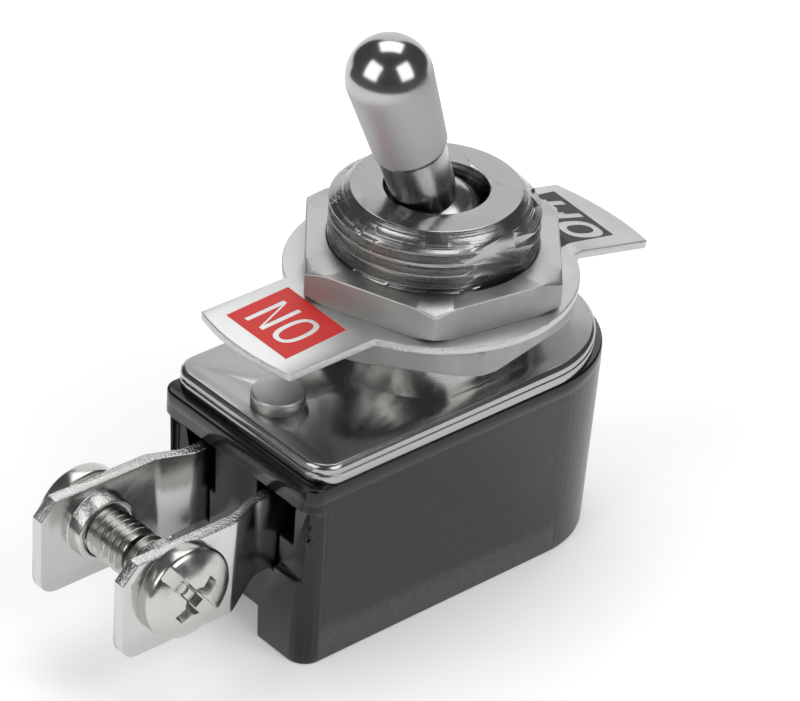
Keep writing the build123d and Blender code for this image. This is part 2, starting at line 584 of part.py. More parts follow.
def strip(side, end_x):
    """One strip in plan, cut to its side-view outline, with its collar and clearance hole."""
    inner = STRIP_IN * side
    outer = STRIP_OUT * side
    step = STRIP_T * side
    with BuildPart() as strip_part:
        with BuildSketch(Plane.XY.offset(STRIP_BOTTOM)):
            with BuildLine():
                Polyline(
                    (STRIP_X0, outer),
                    (JOGGLE_X0, outer),
                    (JOGGLE_X1, inner),
                    (end_x, inner),
                    (end_x, inner + step),
                    (JOGGLE_X1 - JOGGLE_SHIFT, inner + step),
                    (JOGGLE_X0 - JOGGLE_SHIFT, outer + step),
                    (STRIP_X0, outer + step),
                    close=True,
                )
            make_face()
        extrude(amount=STRIP_TOP - STRIP_BOTTOM)
        upright = strip_part.edges().filter_by(Axis.Z)
        bends = upright.filter_by_position(Axis.X, JOGGLE_X0 - 1, JOGGLE_X1 + 1)
        fillet(bends, JOGGLE_R)
        # side view: clipped top corner, rounded bottom corner, shoulder down from the neck
        with BuildSketch(Plane.XZ) as side_view:
            with BuildLine():
                Polyline(
                    (STRIP_X0 + CLIP, STRIP_TOP),
                    (end_x, STRIP_TOP),
                    (end_x, NECK_BOTTOM),
                    (JOGGLE_X1, NECK_BOTTOM),
                    (JOGGLE_X1 - SHOULDER_L, STRIP_BOTTOM),
                    (STRIP_X0, STRIP_BOTTOM),
                    (STRIP_X0, STRIP_TOP - CLIP),
                    close=True,
                )
            make_face()
            low_corners = side_view.vertices().group_by(Axis.Y)[0].sort_by(Axis.X)
            fillet(low_corners[0], LOW_CORNER_R)
            fillet(low_corners[1], SHOULDER_FILLET)
        extrude(amount=HALF_W, both=True, mode=Mode.INTERSECT)
        # extruded collar on the inner face, bored for the screw
        with BuildSketch(Plane.XZ.offset(-outer)):
            with Locations((SCREW_X, SCREW_Z)):
                Circle(COLLAR_R)
        extrude(amount=side * COLLAR_H)
        with BuildSketch(Plane.XZ):
            with Locations((SCREW_X, SCREW_Z)):
                Circle(SCREW_R + SCREW_CLEAR)
        extrude(amount=HALF_W, both=True, mode=Mode.SUBTRACT)
        if side < 0:
            # leg down the inside and foot under the bracket
            with BuildSketch(Plane.XY.offset(FLOOR)):
                block((-FOOT_HALF, inner + step), (FOOT_HALF, ARM_Y1))
            extrude(amount=STRIP_T)
            with BuildSketch(Plane.XY.offset(FLOOR)):
                block((-FOOT_HALF, inner + step), (FOOT_HALF, inner))
            extrude(amount=NECK_BOTTOM - FLOOR)
        else:
            # shelf under the fixed contact
            with BuildSketch(Plane.XY.offset(SHELF_Z)):
                block((SHELF_X - SHELF_HALF, -ROCKER_HW), (SHELF_X + SHELF_HALF, inner + step))
                with Locations((SHELF_X, 0)):
                    Circle(CONTACT_SHANK_R, mode=Mode.SUBTRACT)
            extrude(amount=-STRIP_T)
    return strip_part.part


save(strip(-1, FOOT_HALF), "terminal_near")
save(strip(1, STRIP_X1_FAR), "terminal_far")

# ==== terminal screws: domed heads with a cross recess, on the strips' outer faces =================
for name, side, tip_y in (("screw_near", -1, SCREW_TIP_NEAR), ("screw_far", 1, SCREW_TIP_FAR)):
    seat_y = side * (STRIP_OUT + STRIP_T)
    shank_l = abs(seat_y - tip_y)
    axis_plane = Plane(origin=(SCREW_X, seat_y, SCREW_Z), x_dir=(1, 0, 0), z_dir=(0, side, 0))
    with BuildPart() as screw:
        with BuildSketch(axis_plane.rotated((90, 0, 0))) as profile:
            with BuildLine():
                Polyline(
                    (0, HEAD_H),
                    (0, -shank_l),
                    (SCREW_R - TIP_CHAMFER, -shank_l),
                    (SCREW_R, TIP_CHAMFER - shank_l),
                    (SCREW_R, 0),
                    (HEAD_R, 0),
                    (HEAD_R, HEAD_SIDE),
                )
                RadiusArc((HEAD_R, HEAD_SIDE), (0, HEAD_H), -DOME_R)
            make_face()
        revolve(axis=Axis(axis_plane.origin, axis_plane.z_dir))
        # cross recess, tapering to the bottom
        with BuildSketch(axis_plane.offset(HEAD_H)):
            with Locations(Location((0, 0), side * RECESS_TURN)):
                Rectangle(RECESS_L, RECESS_W)
                Rectangle(RECESS_W, RECESS_L)
        extrude(amount=-RECESS_DEPTH, taper=RECESS_TAPER, mode=Mode.SUBTRACT)
    save(screw.part, name)

# ==== rivets through the cover into the housing =====================================================
for name, x in (("rivet_front", RIVET_X), ("rivet_rear", RIVET_REAR_X)):
    with BuildPart() as rivet:
        with BuildSketch(Plane.XY.offset(Z_TOP)):
            with Locations((x, 0)):
                Circle(RIVET_HEAD_R)
        extrude(amount=RIVET_HEAD_H)
        chamfer(rivet.edges().group_by(Axis.Z)[-1], RIVET_EDGE)
        with BuildSketch(Plane.XY.offset(Z_TOP)):
            with Locations((x, 0)):
                Circle(RIVET_R)
        extrude(amount=-RIVET_L)
    save(rivet.part, name)
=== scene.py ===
"""Toggle switch for panel mounting, dressed from its CAD frame.

Bat lever, threaded bushing with two nuts and an ON/OFF plate, a riveted cover on a moulded
housing, and two screw terminals. The switch's lengths are written in millimetres and scaled by
MM, and those of the floor, lights and camera are in metres.
"""

import json
from math import acos, atan2, cos, degrees, pi, radians, sin, sqrt

import bmesh
import bpy
from mathutils import Matrix, Vector

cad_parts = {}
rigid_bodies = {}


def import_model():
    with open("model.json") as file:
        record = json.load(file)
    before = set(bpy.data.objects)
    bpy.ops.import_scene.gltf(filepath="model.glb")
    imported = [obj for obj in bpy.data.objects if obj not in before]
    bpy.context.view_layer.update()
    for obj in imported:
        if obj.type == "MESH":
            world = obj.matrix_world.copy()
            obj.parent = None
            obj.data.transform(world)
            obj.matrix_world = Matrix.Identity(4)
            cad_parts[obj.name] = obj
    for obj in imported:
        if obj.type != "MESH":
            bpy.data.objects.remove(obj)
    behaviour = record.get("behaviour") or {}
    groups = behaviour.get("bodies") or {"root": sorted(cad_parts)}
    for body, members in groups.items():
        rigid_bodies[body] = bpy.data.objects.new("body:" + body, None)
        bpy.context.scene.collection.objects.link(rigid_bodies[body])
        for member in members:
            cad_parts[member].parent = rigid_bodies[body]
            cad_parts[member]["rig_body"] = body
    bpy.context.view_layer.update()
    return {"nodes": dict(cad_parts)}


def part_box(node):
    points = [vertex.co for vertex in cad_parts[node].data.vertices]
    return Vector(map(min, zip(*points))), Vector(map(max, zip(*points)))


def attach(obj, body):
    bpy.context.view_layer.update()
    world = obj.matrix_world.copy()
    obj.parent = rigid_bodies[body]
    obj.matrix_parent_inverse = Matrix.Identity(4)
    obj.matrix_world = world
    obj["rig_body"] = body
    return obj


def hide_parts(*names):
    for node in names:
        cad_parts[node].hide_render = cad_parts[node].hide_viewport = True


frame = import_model()

# ---- Housing ------------------------------------------------------------------------------------
# One hollow moulding in black bakelite: rim, terminal windows, pockets beside them and a notched
# foot. Its edges leave the mould slightly rounded and its long walls are not quite flat.
MM = 0.001


def linear(hex_colour):
    """sRGB hex colour as the linear RGBA that Blender works in."""
    channels = [int(hex_colour[i : i + 2], 16) / 255 for i in (1, 3, 5)]
    return [c / 12.92 if c <= 0.04045 else ((c + 0.055) / 1.055) ** 2.4 for c in channels] + [1.0]


def add(tree, kind, sockets=None, **settings):
    """Add a node. Sockets maps an input to a value, or to the output that is linked to it."""
    node = tree.nodes.new(kind)
    for field, value in settings.items():
        setattr(node, field, value)
    for key, value in (sockets or {}).items():
        if isinstance(value, bpy.types.NodeSocket):
            tree.links.new(value, node.inputs[key])
        else:
            node.inputs[key].default_value = value
    return node


def empty_material(name):
    """A new material with nothing in its tree but the output."""
    material = bpy.data.materials.new(name)
    material.use_nodes = True
    material.node_tree.nodes.clear()
    output = material.node_tree.nodes.new("ShaderNodeOutputMaterial")
    return material, material.node_tree, output.inputs["Surface"]


def placed(name, data):
    """A new object for a mesh, lamp or camera, in the scene."""
    obj = bpy.data.objects.new(name, data)
    bpy.context.collection.objects.link(obj)
    return obj


def plain_mesh(obj):
    """Put an object's evaluated modifiers into its mesh and drop them."""
    bpy.context.view_layer.update()
    evaluated = obj.evaluated_get(bpy.context.evaluated_depsgraph_get())
    made = bpy.data.meshes.new_from_object(evaluated)
    obj.modifiers.clear()
    obj.data = made
    made.name = obj.name
    return obj


def merged_copy(node, name):
    """A copy of a CAD node's mesh with its triangles joined up and its flat faces made whole."""
    copy = frame["nodes"][node].data.copy()
    copy.materials.clear()
    shape = bmesh.new()
    shape.from_mesh(copy)
    bmesh.ops.remove_doubles(shape, verts=shape.verts, dist=0.0005 * MM)
    bmesh.ops.dissolve_limit(shape, angle_limit=radians(0.4), verts=shape.verts, edges=shape.edges)
    for face in shape.faces:
        face.smooth = True
    for edge in shape.edges:
        edge.smooth = True
    bare = bpy.data.meshes.new(name)
    shape.to_mesh(bare)
    shape.free()
    return placed(name, bare)


def rounded(obj, edge_mm, wanted):
    """Round an object's sharp edges, those that the test lets through."""
    shape = bmesh.new()
    shape.from_mesh(obj.data)
    weight = shape.edges.layers.float.new("bevel_weight_edge")
    for edge in shape.edges:
        sharp = edge.calc_face_angle(0) > radians(24)
        edge[weight] = 1.0 if sharp and wanted([vertex.co / MM for vertex in edge.verts]) else 0.0
    shape.to_mesh(obj.data)
    shape.free()
    rounding = obj.modifiers.new("rounding", "BEVEL")
    rounding.width = edge_mm * MM
    rounding.segments = 2
    rounding.limit_method = "WEIGHT"
    rounding.harden_normals = True
    rounding.use_clamp_overlap = False
    plain_mesh(obj)


def dressed(node, name, edge_mm, material, wanted=bool):
    """A CAD node's copy with rounded edges, which then stands for the node."""
    obj = merged_copy(node, name)
    obj.data.materials.append(material)
    rounded(obj, edge_mm, wanted)
    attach(obj, frame["nodes"][node]["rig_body"])
    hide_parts(node)


# Phenolic moulding: dark through and through, with a glossy skin from the polished mould.
bakelite, tree, surface = empty_material("bakelite_moulded_black")
place = add(tree, "ShaderNodeTexCoord").outputs["Object"]
# Sink marks a few millimetres across, and the skin's fine mottle.
sink = add(tree, "ShaderNodeTexNoise", {"Vector": place, "Scale": 0.25 / MM, "Detail": 1.0})
sink_bump = add(
    tree,
    "ShaderNodeBump",
    {"Height": sink.outputs["Fac"], "Strength": 0.35, "Distance": 0.02 * MM},
)
mottle = add(tree, "ShaderNodeTexNoise", {"Vector": place, "Scale": 3.0 / MM, "Detail": 3.0})
skin = add(
    tree,
    "ShaderNodeBump",
    {
        "Height": mottle.outputs["Fac"],
        "Strength": 0.2,
        "Distance": 0.002 * MM,
        "Normal": sink_bump.outputs["Normal"],
    },
)
gloss = add(
    tree,
    "ShaderNodeMapRange",
    {"Value": mottle.outputs["Fac"], "From Min": 0.3, "From Max": 0.7, "To Min": 0.16, "To Max": 0.26},
)
shell = add(
    tree,
    "ShaderNodeBsdfPrincipled",
    {
        "Base Color": linear("#0B0B0C"),
        "Roughness": gloss.outputs["Result"],
        "IOR": 1.48,
        "Normal": skin.outputs["Normal"],
    },
)
tree.links.new(shell.outputs["BSDF"], surface)
# The rim's underside runs out to nothing round the far end, and a pocket's side to a feather edge
# on the near corner, so these edges stay sharp.
RIM_UNDERSIDE = 11.0
POCKET_SIDE = -5.75


def thick_enough(ends):
    on_underside = max(abs(end.z - RIM_UNDERSIDE) for end in ends) < 0.01
    on_pocket_side = max(abs(end.y - POCKET_SIDE) for end in ends) < 0.01
    return not (on_underside or on_pocket_side)


dressed("housing", "housing_moulding", 0.14, bakelite, thick_enough)

# ---- Cover sheets and insulating sheet ----------------------------------------------------------
# Two stamped steel sheets of one outline lie on each other, bright nickel plated, and the upper
# one's edge is rolled over by its punch. A fibre sheet lies under them in the housing's seat.

# Plated and polished sheet: clear reflections, a little soft, with faint rolling lines along X.
nickel_sheet, tree, surface = empty_material("nickel_plated_steel_sheet_polished")
place = add(tree, "ShaderNodeTexCoord").outputs["Object"]
# Rolling lines are 0.01 mm apart in real sheet; drawn 0.12 mm apart so that they show.
lines = add(tree, "ShaderNodeMapping", {"Vector": place, "Scale": (0.6 / MM, 8.0 / MM, 8.0 / MM)})
rolling = add(
    tree,
    "ShaderNodeTexNoise",
    {"Vector": lines.outputs["Vector"], "Scale": 1.0, "Detail": 4.0},
)
cloud = add(tree, "ShaderNodeTexNoise", {"Vector": place, "Scale": 0.35 / MM, "Detail": 2.0})
softness = add(
    tree,
    "ShaderNodeMapRange",
    {"Value": cloud.outputs["Fac"], "From Min": 0.3, "From Max": 0.7, "To Min": 0.17, "To Max": 0.27},
)
dents = add(
    tree,
    "ShaderNodeBump",
    {"Height": cloud.outputs["Fac"], "Strength": 0.5, "Distance": 0.02 * MM},
)
grain = add(
    tree,
    "ShaderNodeBump",
    {
        "Height": rolling.outputs["Fac"],
        "Strength": 0.25,
        "Distance": 0.002 * MM,
        "Normal": dents.outputs["Normal"],
    },
)
plated = add(
    tree,
    "ShaderNodeBsdfPrincipled",
    {
        "Base Color": linear("#AEAEAC"),
        "Metallic": 1.0,
        "Roughness": softness.outputs["Result"],
        "Normal": grain.outputs["Normal"],
    },
)
tree.links.new(plated.outputs["BSDF"], surface)
dressed("cover_plate", "cover_sheet_upper", 0.07, nickel_sheet)
dressed("backing_plate", "cover_sheet_lower", 0.08, nickel_sheet)

# Vulcanised fibre: dull brown board, pressed, with a fibrous mottle.
fibre, tree, surface = empty_material("vulcanised_fibre_pressed")
place = add(tree, "ShaderNodeTexCoord").outputs["Object"]
felt = add(tree, "ShaderNodeTexNoise", {"Vector": place, "Scale": 2.0 / MM, "Detail": 5.0})
board = add(tree, "ShaderNodeValToRGB", {"Fac": felt.outputs["Fac"]})
board.color_ramp.elements[0].color = linear("#6B3A26")
board.color_ramp.elements[1].color = linear("#8A5237")
pressed = add(tree, "ShaderNodeBsdfPrincipled", {"Base Color": board.outputs["Color"], "Roughness": 0.75})
tree.links.new(pressed.outputs["BSDF"], surface)


def coated(node, material):
    """Give a hidden piece, which stays as its CAD node is, its material."""
    frame["nodes"][node].data.materials.clear()
    frame["nodes"][node].data.materials.append(material)


coated("insulating_sheet", fibre)

# ---- Rivets -------------------------------------------------------------------------------------
# Two solid rivets with flat, slightly crowned heads hold the cover to the housing, one at each end.
# Each is turned from one profile by the geometry tree that makes every round part below.


def shape_tree(name, sizes):
    """Start a geometry tree with a geometry socket and one named input for each size or material."""
    tree = bpy.data.node_groups.new(name, "GeometryNodeTree")
    tree.interface.new_socket("Geometry", in_out="INPUT", socket_type="NodeSocketGeometry")
    for label, kind in sizes.items():
        tree.interface.new_socket(label, in_out="INPUT", socket_type="NodeSocket" + kind)
    tree.interface.new_socket("Geometry", in_out="OUTPUT", socket_type="NodeSocketGeometry")
    given = tree.nodes.new("NodeGroupInput").outputs
    result = tree.nodes.new("NodeGroupOutput").inputs["Geometry"]
    return tree, given, result


def grid_to_roll(tree, segments, rows):
    """A flat grid for rolling round the axis: its mesh, and each point's row, part of a turn and turn."""
    columns = add(tree, "ShaderNodeMath", {0: segments, 1: 1.0}, operation="ADD")
    sheet = add(tree, "GeometryNodeMeshGrid", {"Vertices X": columns.outputs[0], "Vertices Y": rows})
    index = add(tree, "GeometryNodeInputIndex").outputs[0]
    share = add(tree, "ShaderNodeMath", {0: index, 1: rows}, operation="DIVIDE")
    column = add(tree, "ShaderNodeMath", {0: share.outputs[0]}, operation="FLOOR")
    row = add(tree, "ShaderNodeMath", {0: index, 1: rows}, operation="MODULO")
    part_turn = add(tree, "ShaderNodeMath", {0: column.outputs[0], 1: segments}, operation="DIVIDE")
    turn = add(tree, "ShaderNodeMath", {0: part_turn.outputs[0], 1: 2 * pi}, operation="MULTIPLY")
    return sheet.outputs["Mesh"], row.outputs[0], part_turn.outputs[0], turn.outputs[0]


def roll_up(tree, mesh, turn, radius, height, material, result):
    """Roll the grid up at its points' radius and height, close its seam and poles, end the tree."""
    cosine = add(tree, "ShaderNodeMath", {0: turn}, operation="COSINE")
    sine = add(tree, "ShaderNodeMath", {0: turn}, operation="SINE")
    along_x = add(tree, "ShaderNodeMath", {0: cosine.outputs[0], 1: radius}, operation="MULTIPLY")
    along_y = add(tree, "ShaderNodeMath", {0: sine.outputs[0], 1: radius}, operation="MULTIPLY")
    position = add(
        tree,
        "ShaderNodeCombineXYZ",
        {"X": along_x.outputs[0], "Y": along_y.outputs[0], "Z": height},
    )
    bent = add(tree, "GeometryNodeSetPosition", {"Geometry": mesh, "Position": position.outputs[0]})
    closed = add(
        tree,
        "GeometryNodeMergeByDistance",
        {"Geometry": bent.outputs[0], "Distance": 0.001 * MM},
    )
    real = add(tree, "GeometryNodeRealizeInstances", {"Geometry": closed.outputs[0]})
    finish = add(tree, "GeometryNodeSetMaterial", {"Geometry": real.outputs[0], "Material": material})
    tree.links.new(finish.outputs[0], result)


def grown(name, tree, sizes, points=()):
    """Run a geometry tree on a row of points and keep what it makes as a plain mesh."""
    seed = bpy.data.meshes.new(name)
    seed.from_pydata([[x * MM for x in point] for point in points], [], [])
    obj = placed(name, seed)
    modifier = obj.modifiers.new("shape", "NODES")
    modifier.node_group = tree
    for item in tree.interface.items_tree:
        if item.in_out == "INPUT" and item.name in sizes:
            modifier[item.identifier] = sizes[item.name]
    return plain_mesh(obj)


def smooth_to(obj, degrees_limit):
    """Smooth shading up to an angle between faces, sharp past it."""
    obj.data.shade_smooth()
    obj.data.set_sharp_from_angle(angle=radians(degrees_limit))
    return obj


# The turning tree: the points are a profile in the XZ plane, from the lower pole out and up.
turning, given, result = shape_tree("turned_from_profile", {"Segments": "Int", "Material": "Material"})
count = add(turning, "GeometryNodeAttributeDomainSize", {"Geometry": given["Geometry"]}, component="MESH")
mesh, row, _, turn = grid_to_roll(turning, given["Segments"], count.outputs["Point Count"])
spot = add(
    turning,
    "GeometryNodeSampleIndex",
    {
        "Geometry": given["Geometry"],
        "Value": add(turning, "GeometryNodeInputPosition").outputs[0],
        "Index": row,
    },
    data_type="FLOAT_VECTOR",
)
profile = add(turning, "ShaderNodeSeparateXYZ", {0: spot.outputs["Value"]}).outputs
roll_up(turning, mesh, turn, profile["X"], profile["Z"], given["Material"], result)


def arc(centre, radius, first, last, steps):
    """Points of an arc in a profile: centre (r, z), angles in degrees from the +r direction."""
    angles = [radians(first + (last - first) * i / steps) for i in range(steps + 1)]
    return [(centre[0] + radius * cos(a), 0, centre[1] + radius * sin(a)) for a in angles]


# Set rivet: nickel plated like the sheet, with the fine dull skin that the setting tool leaves.
rivet_nickel, tree, surface = empty_material("nickel_plated_rivet_set")
place = add(tree, "ShaderNodeTexCoord").outputs["Object"]
# Tool marks about 0.15 mm across.
marks = add(tree, "ShaderNodeTexNoise", {"Vector": place, "Scale": 3.5 / MM, "Detail": 3.0})
pressed_skin = add(
    tree,
    "ShaderNodeBump",
    {"Height": marks.outputs["Fac"], "Strength": 0.4, "Distance": 0.01 * MM},
)
set_head = add(
    tree,
    "ShaderNodeBsdfPrincipled",
    {
        "Base Color": linear("#BDBDBB"),
        "Metallic": 1.0,
        "Roughness": 0.42,
        "Normal": pressed_skin.outputs["Normal"],
    },
)
tree.links.new(set_head.outputs["BSDF"], surface)

RIVET_HEAD_R = 1.55
RIVET_HEAD_H = 0.9
RIVET_SHANK_R = 1.0
RIVET_CROWN = 0.06
RIVET_EDGE = 0.18
RIVET_TOP_R = 0.8
cover_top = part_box("cover_plate")[1].z / MM
for node in ("rivet_front", "rivet_rear"):
    low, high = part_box(node)
    head_edge = RIVET_HEAD_H - RIVET_CROWN - RIVET_EDGE
    rivet_profile = [(0, 0, low.z / MM), (RIVET_SHANK_R, 0, low.z / MM), (RIVET_SHANK_R, 0, cover_top)]
    rivet_profile += [(RIVET_HEAD_R - 0.05, 0, cover_top), (RIVET_HEAD_R, 0, cover_top + 0.06)]
    rivet_profile += arc((RIVET_HEAD_R - RIVET_EDGE, cover_top + head_edge), RIVET_EDGE, 0, 80, 5)
    rivet_top = cover_top + RIVET_HEAD_H
    rivet_profile += [(RIVET_TOP_R, 0, rivet_top - 0.02), (0, 0, rivet_top)]
    rivet = grown(node + "_head", turning, {"Segments": 48, "Material": rivet_nickel}, rivet_profile)
    rivet.data.transform(Matrix.Translation(((low.x + high.x) / 2, (low.y + high.y) / 2, 0)))
    smooth_to(rivet, 40)
    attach(rivet, "body")
    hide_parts(node)

# ---- Bushing ------------------------------------------------------------------------------------
# Turned brass barrel with a fine thread down from its chamfered top, a long flat and a plain
# collar on the cover, nickel plated after cutting. The thread is cut into a copy of the solid.
THREAD_PITCH = 0.75
THREAD_DEPTH = 0.46
CREST_R = 5.94
CHAMFER_H = 0.85
FLAT_Y = 5.35
# The solid's own step above the nut and its chamfer, both outside the inner radius.
SOLID_STEP = 0.12
SOLID_CHAMFER_H = 1.2
INNER_R = 5.0
MOUTH_EDGE = 0.06
# The threaded blank that the solid is cut to: its plain part and its top.
BLANK_R = 6.3
BLANK_TIP_R = 5.0
BLANK_ROWS = 124
# One tree for every thread: rows follow the helix, so crests and roots stay sharp at each turn.
lengths = ("Crest Radius", "Thread Depth", "Pitch", "Plain Radius", "Base", "Start", "End", "Tip Radius")
threading, given, result = shape_tree(
    "threaded_rod",
    {label: "Float" for label in lengths} | {"Rows": "Int", "Segments": "Int", "Material": "Material"},
)
mesh, row, part_turn, turn = grid_to_roll(threading, given["Segments"], given["Rows"])
# Rows to a turn, the first of them one pitch below the start. Rows past the end fall together
# there, on a tip radius that lies inside the roots.
TURN_ROWS = 16
phase = add(threading, "ShaderNodeMath", {0: row, 1: -3.0}, operation="ADD")
turns = add(threading, "ShaderNodeMath", {0: phase.outputs[0], 1: 1 / TURN_ROWS}, operation="MULTIPLY")
climb = add(threading, "ShaderNodeMath", {0: turns.outputs[0], 1: part_turn}, operation="ADD")
lifted = add(threading, "ShaderNodeMath", {0: climb.outputs[0], 1: -1.0}, operation="ADD")
height = add(
    threading,
    "ShaderNodeMath",
    {0: lifted.outputs[0], 1: given["Pitch"], 2: given["Start"]},
    operation="MULTIPLY_ADD",
)
above = add(threading, "ShaderNodeMath", {0: height.outputs[0], 1: given["Start"]}, operation="MAXIMUM")
clamped = add(threading, "ShaderNodeMath", {0: above.outputs[0], 1: given["End"]}, operation="MINIMUM")
# Sixty-degree profile with a flat crest and a wider flat root, from the distance to the crest.
wave = add(threading, "ShaderNodeMath", {0: turns.outputs[0], 1: 0.5}, operation="PINGPONG")
cut = add(
    threading,
    "ShaderNodeMapRange",
    {
        "Value": wave.outputs[0],
        "From Min": 1 / TURN_ROWS,
        "From Max": 6 / TURN_ROWS,
        "To Min": 0.0,
        "To Max": 1.0,
    },
)
depth = add(
    threading,
    "ShaderNodeMath",
    {0: cut.outputs["Result"], 1: given["Thread Depth"]},
    operation="MULTIPLY",
)
thread_r = add(
    threading,
    "ShaderNodeMath",
    {0: given["Crest Radius"], 1: depth.outputs[0]},
    operation="SUBTRACT",
)
to_end = add(threading, "ShaderNodeMath", {0: given["End"], 1: clamped.outputs[0]}, operation="SUBTRACT")
bevel_r = add(
    threading,
    "ShaderNodeMath",
    {0: given["Tip Radius"], 1: to_end.outputs[0]},
    operation="ADD",
)
outer_r = add(
    threading,
    "ShaderNodeMath",
    {0: thread_r.outputs[0], 1: bevel_r.outputs[0]},
    operation="MINIMUM",
)
below_start = add(
    threading,
    "ShaderNodeMath",
    {0: height.outputs[0], 1: given["Start"]},
    operation="LESS_THAN",
)
swept_r = add(
    threading,
    "GeometryNodeSwitch",
    {"Switch": below_start.outputs[0], "False": outer_r.outputs[0], "True": given["Plain Radius"]},
    input_type="FLOAT",
)
# The first three rows close the lower end, and the last one closes the upper end.
is_base = add(threading, "ShaderNodeMath", {0: row, 1: 1.5}, operation="LESS_THAN").outputs[0]
is_plain = add(threading, "ShaderNodeMath", {0: row, 1: 2.5}, operation="LESS_THAN").outputs[0]
is_pole = add(threading, "ShaderNodeMath", {0: row, 1: 0.5}, operation="LESS_THAN").outputs[0]
last_row = add(threading, "ShaderNodeMath", {0: given["Rows"], 1: -1.5}, operation="ADD")
is_last = add(threading, "ShaderNodeMath", {0: row, 1: last_row.outputs[0]}, operation="GREATER_THAN")
any_pole = add(threading, "ShaderNodeMath", {0: is_pole, 1: is_last.outputs[0]}, operation="MAXIMUM")
final_r = swept_r.outputs[0]
for test, value in ((is_plain, given["Plain Radius"]), (any_pole.outputs[0], 0.0)):
    choice = {"Switch": test, "False": final_r, "True": value}
    final_r = add(threading, "GeometryNodeSwitch", choice, input_type="FLOAT").outputs[0]
final_z = clamped.outputs[0]
for test, value in ((is_plain, given["Start"]), (is_base, given["Base"])):
    choice = {"Switch": test, "False": final_z, "True": value}
    final_z = add(threading, "GeometryNodeSwitch", choice, input_type="FLOAT").outputs[0]
roll_up(threading, mesh, turn, final_r, final_z, given["Material"], result)

# Turned and plated brass: bright, with rings from the lathe tool around the axis.
nickel_turned, tree, surface = empty_material("nickel_plated_brass_turned")
place = add(tree, "ShaderNodeTexCoord").outputs["Object"]
split = add(tree, "ShaderNodeSeparateXYZ", {0: place})
square_x = add(
    tree,
    "ShaderNodeMath",
    {0: split.outputs["X"], 1: split.outputs["X"]},
    operation="MULTIPLY",
)
square_sum = add(
    tree,
    "ShaderNodeMath",
    {0: split.outputs["Y"], 1: split.outputs["Y"], 2: square_x.outputs[0]},
    operation="MULTIPLY_ADD",
)
axis_distance = add(tree, "ShaderNodeMath", {0: square_sum.outputs[0], 1: 0.5}, operation="POWER")
# Tool rings 0.17 mm apart, coarser than the real 0.05 mm so that they show. They are deep on the
# chamfer and the thread, and missing on the top, the collar and the milled flat.
ring_place = add(tree, "ShaderNodeCombineXYZ", {"X": axis_distance.outputs[0], "Z": split.outputs["Z"]})
rings = add(
    tree,
    "ShaderNodeTexNoise",
    {"Vector": ring_place.outputs[0], "Scale": 6.0 / MM, "Detail": 3.0},
)
bushing_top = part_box("bushing")[1].z
ring_depth = add(
    tree,
    "ShaderNodeMapRange",
    {
        "Value": split.outputs["Z"],
        "From Min": bushing_top - 0.08 * MM,
        "From Max": bushing_top - 0.02 * MM,
        "To Min": 1.0,
        "To Max": 0.05,
    },
)
wear = add(tree, "ShaderNodeTexNoise", {"Vector": place, "Scale": 0.9 / MM, "Detail": 4.0})
softness = add(
    tree,
    "ShaderNodeMapRange",
    {"Value": wear.outputs["Fac"], "From Min": 0.35, "From Max": 0.7, "To Min": 0.16, "To Max": 0.34},
)
thread_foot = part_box("upper_nut")[1].z
above_nut = add(
    tree,
    "ShaderNodeMapRange",
    {
        "Value": split.outputs["Z"],
        "From Min": thread_foot - 0.1 * MM,
        "From Max": thread_foot,
        "To Min": 0.04,
    },
)
ring_share = add(
    tree,
    "ShaderNodeMath",
    {0: ring_depth.outputs["Result"], 1: above_nut.outputs["Result"]},
    operation="MULTIPLY",
)
off_flat = add(
    tree,
    "ShaderNodeMapRange",
    {
        "Value": split.outputs["Y"],
        "From Min": -FLAT_Y * MM,
        "From Max": (0.03 - FLAT_Y) * MM,
        "To Min": 0.1,
        "To Max": 1.0,
    },
)
ring_strength = add(
    tree,
    "ShaderNodeMath",
    {0: ring_share.outputs[0], 1: off_flat.outputs["Result"]},
    operation="MULTIPLY",
)
ring_bump = add(
    tree,
    "ShaderNodeBump",
    {"Height": rings.outputs["Fac"], "Strength": ring_strength.outputs[0], "Distance": 0.06 * MM},
)
handling = add(
    tree,
    "ShaderNodeBump",
    {
        "Height": wear.outputs["Fac"],
        "Strength": 0.4,
        "Distance": 0.02 * MM,
        "Normal": ring_bump.outputs["Normal"],
    },
)
turned_metal = add(
    tree,
    "ShaderNodeBsdfPrincipled",
    {
        "Base Color": linear("#ADADAB"),
        "Metallic": 1.0,
        "Roughness": softness.outputs["Result"],
        "Normal": handling.outputs["Normal"],
    },
)
tree.links.new(turned_metal.outputs["BSDF"], surface)

upper_nut_low, upper_nut_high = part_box("upper_nut")
bushing_low, bushing_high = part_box("bushing")
bushing = merged_copy("bushing", "bushing_threaded")
bushing.data.materials.append(nickel_turned)
# The solid's crest starts just above the nut; here the thread runs on down into it.
crest_start = upper_nut_high.z + SOLID_STEP * MM
for vertex in bushing.data.vertices:
    outside = vertex.co.xy.length > INNER_R * MM
    if outside and abs(vertex.co.z - crest_start) < 0.01 * MM:
        vertex.co.z = upper_nut_high.z - 0.3 * MM
    # The lathe's chamfer is lower than the solid's, which takes in the thread's run-out.
    if outside and abs(vertex.co.z - bushing_high.z + SOLID_CHAMFER_H * MM) < 0.01 * MM:
        vertex.co.z = bushing_high.z - CHAMFER_H * MM


def at_mouth(ends):
    return min(end.z for end in ends) > bushing_high.z / MM - 0.1


def boolean(obj, tool, operation, crossing=False):
    """Cut an object with another, or join them, and drop the other one."""
    cutting = obj.modifiers.new("boolean", "BOOLEAN")
    cutting.operation = operation
    cutting.solver = "EXACT"
    cutting.use_self = crossing
    cutting.object = tool
    plain_mesh(obj)
    bpy.data.objects.remove(tool)


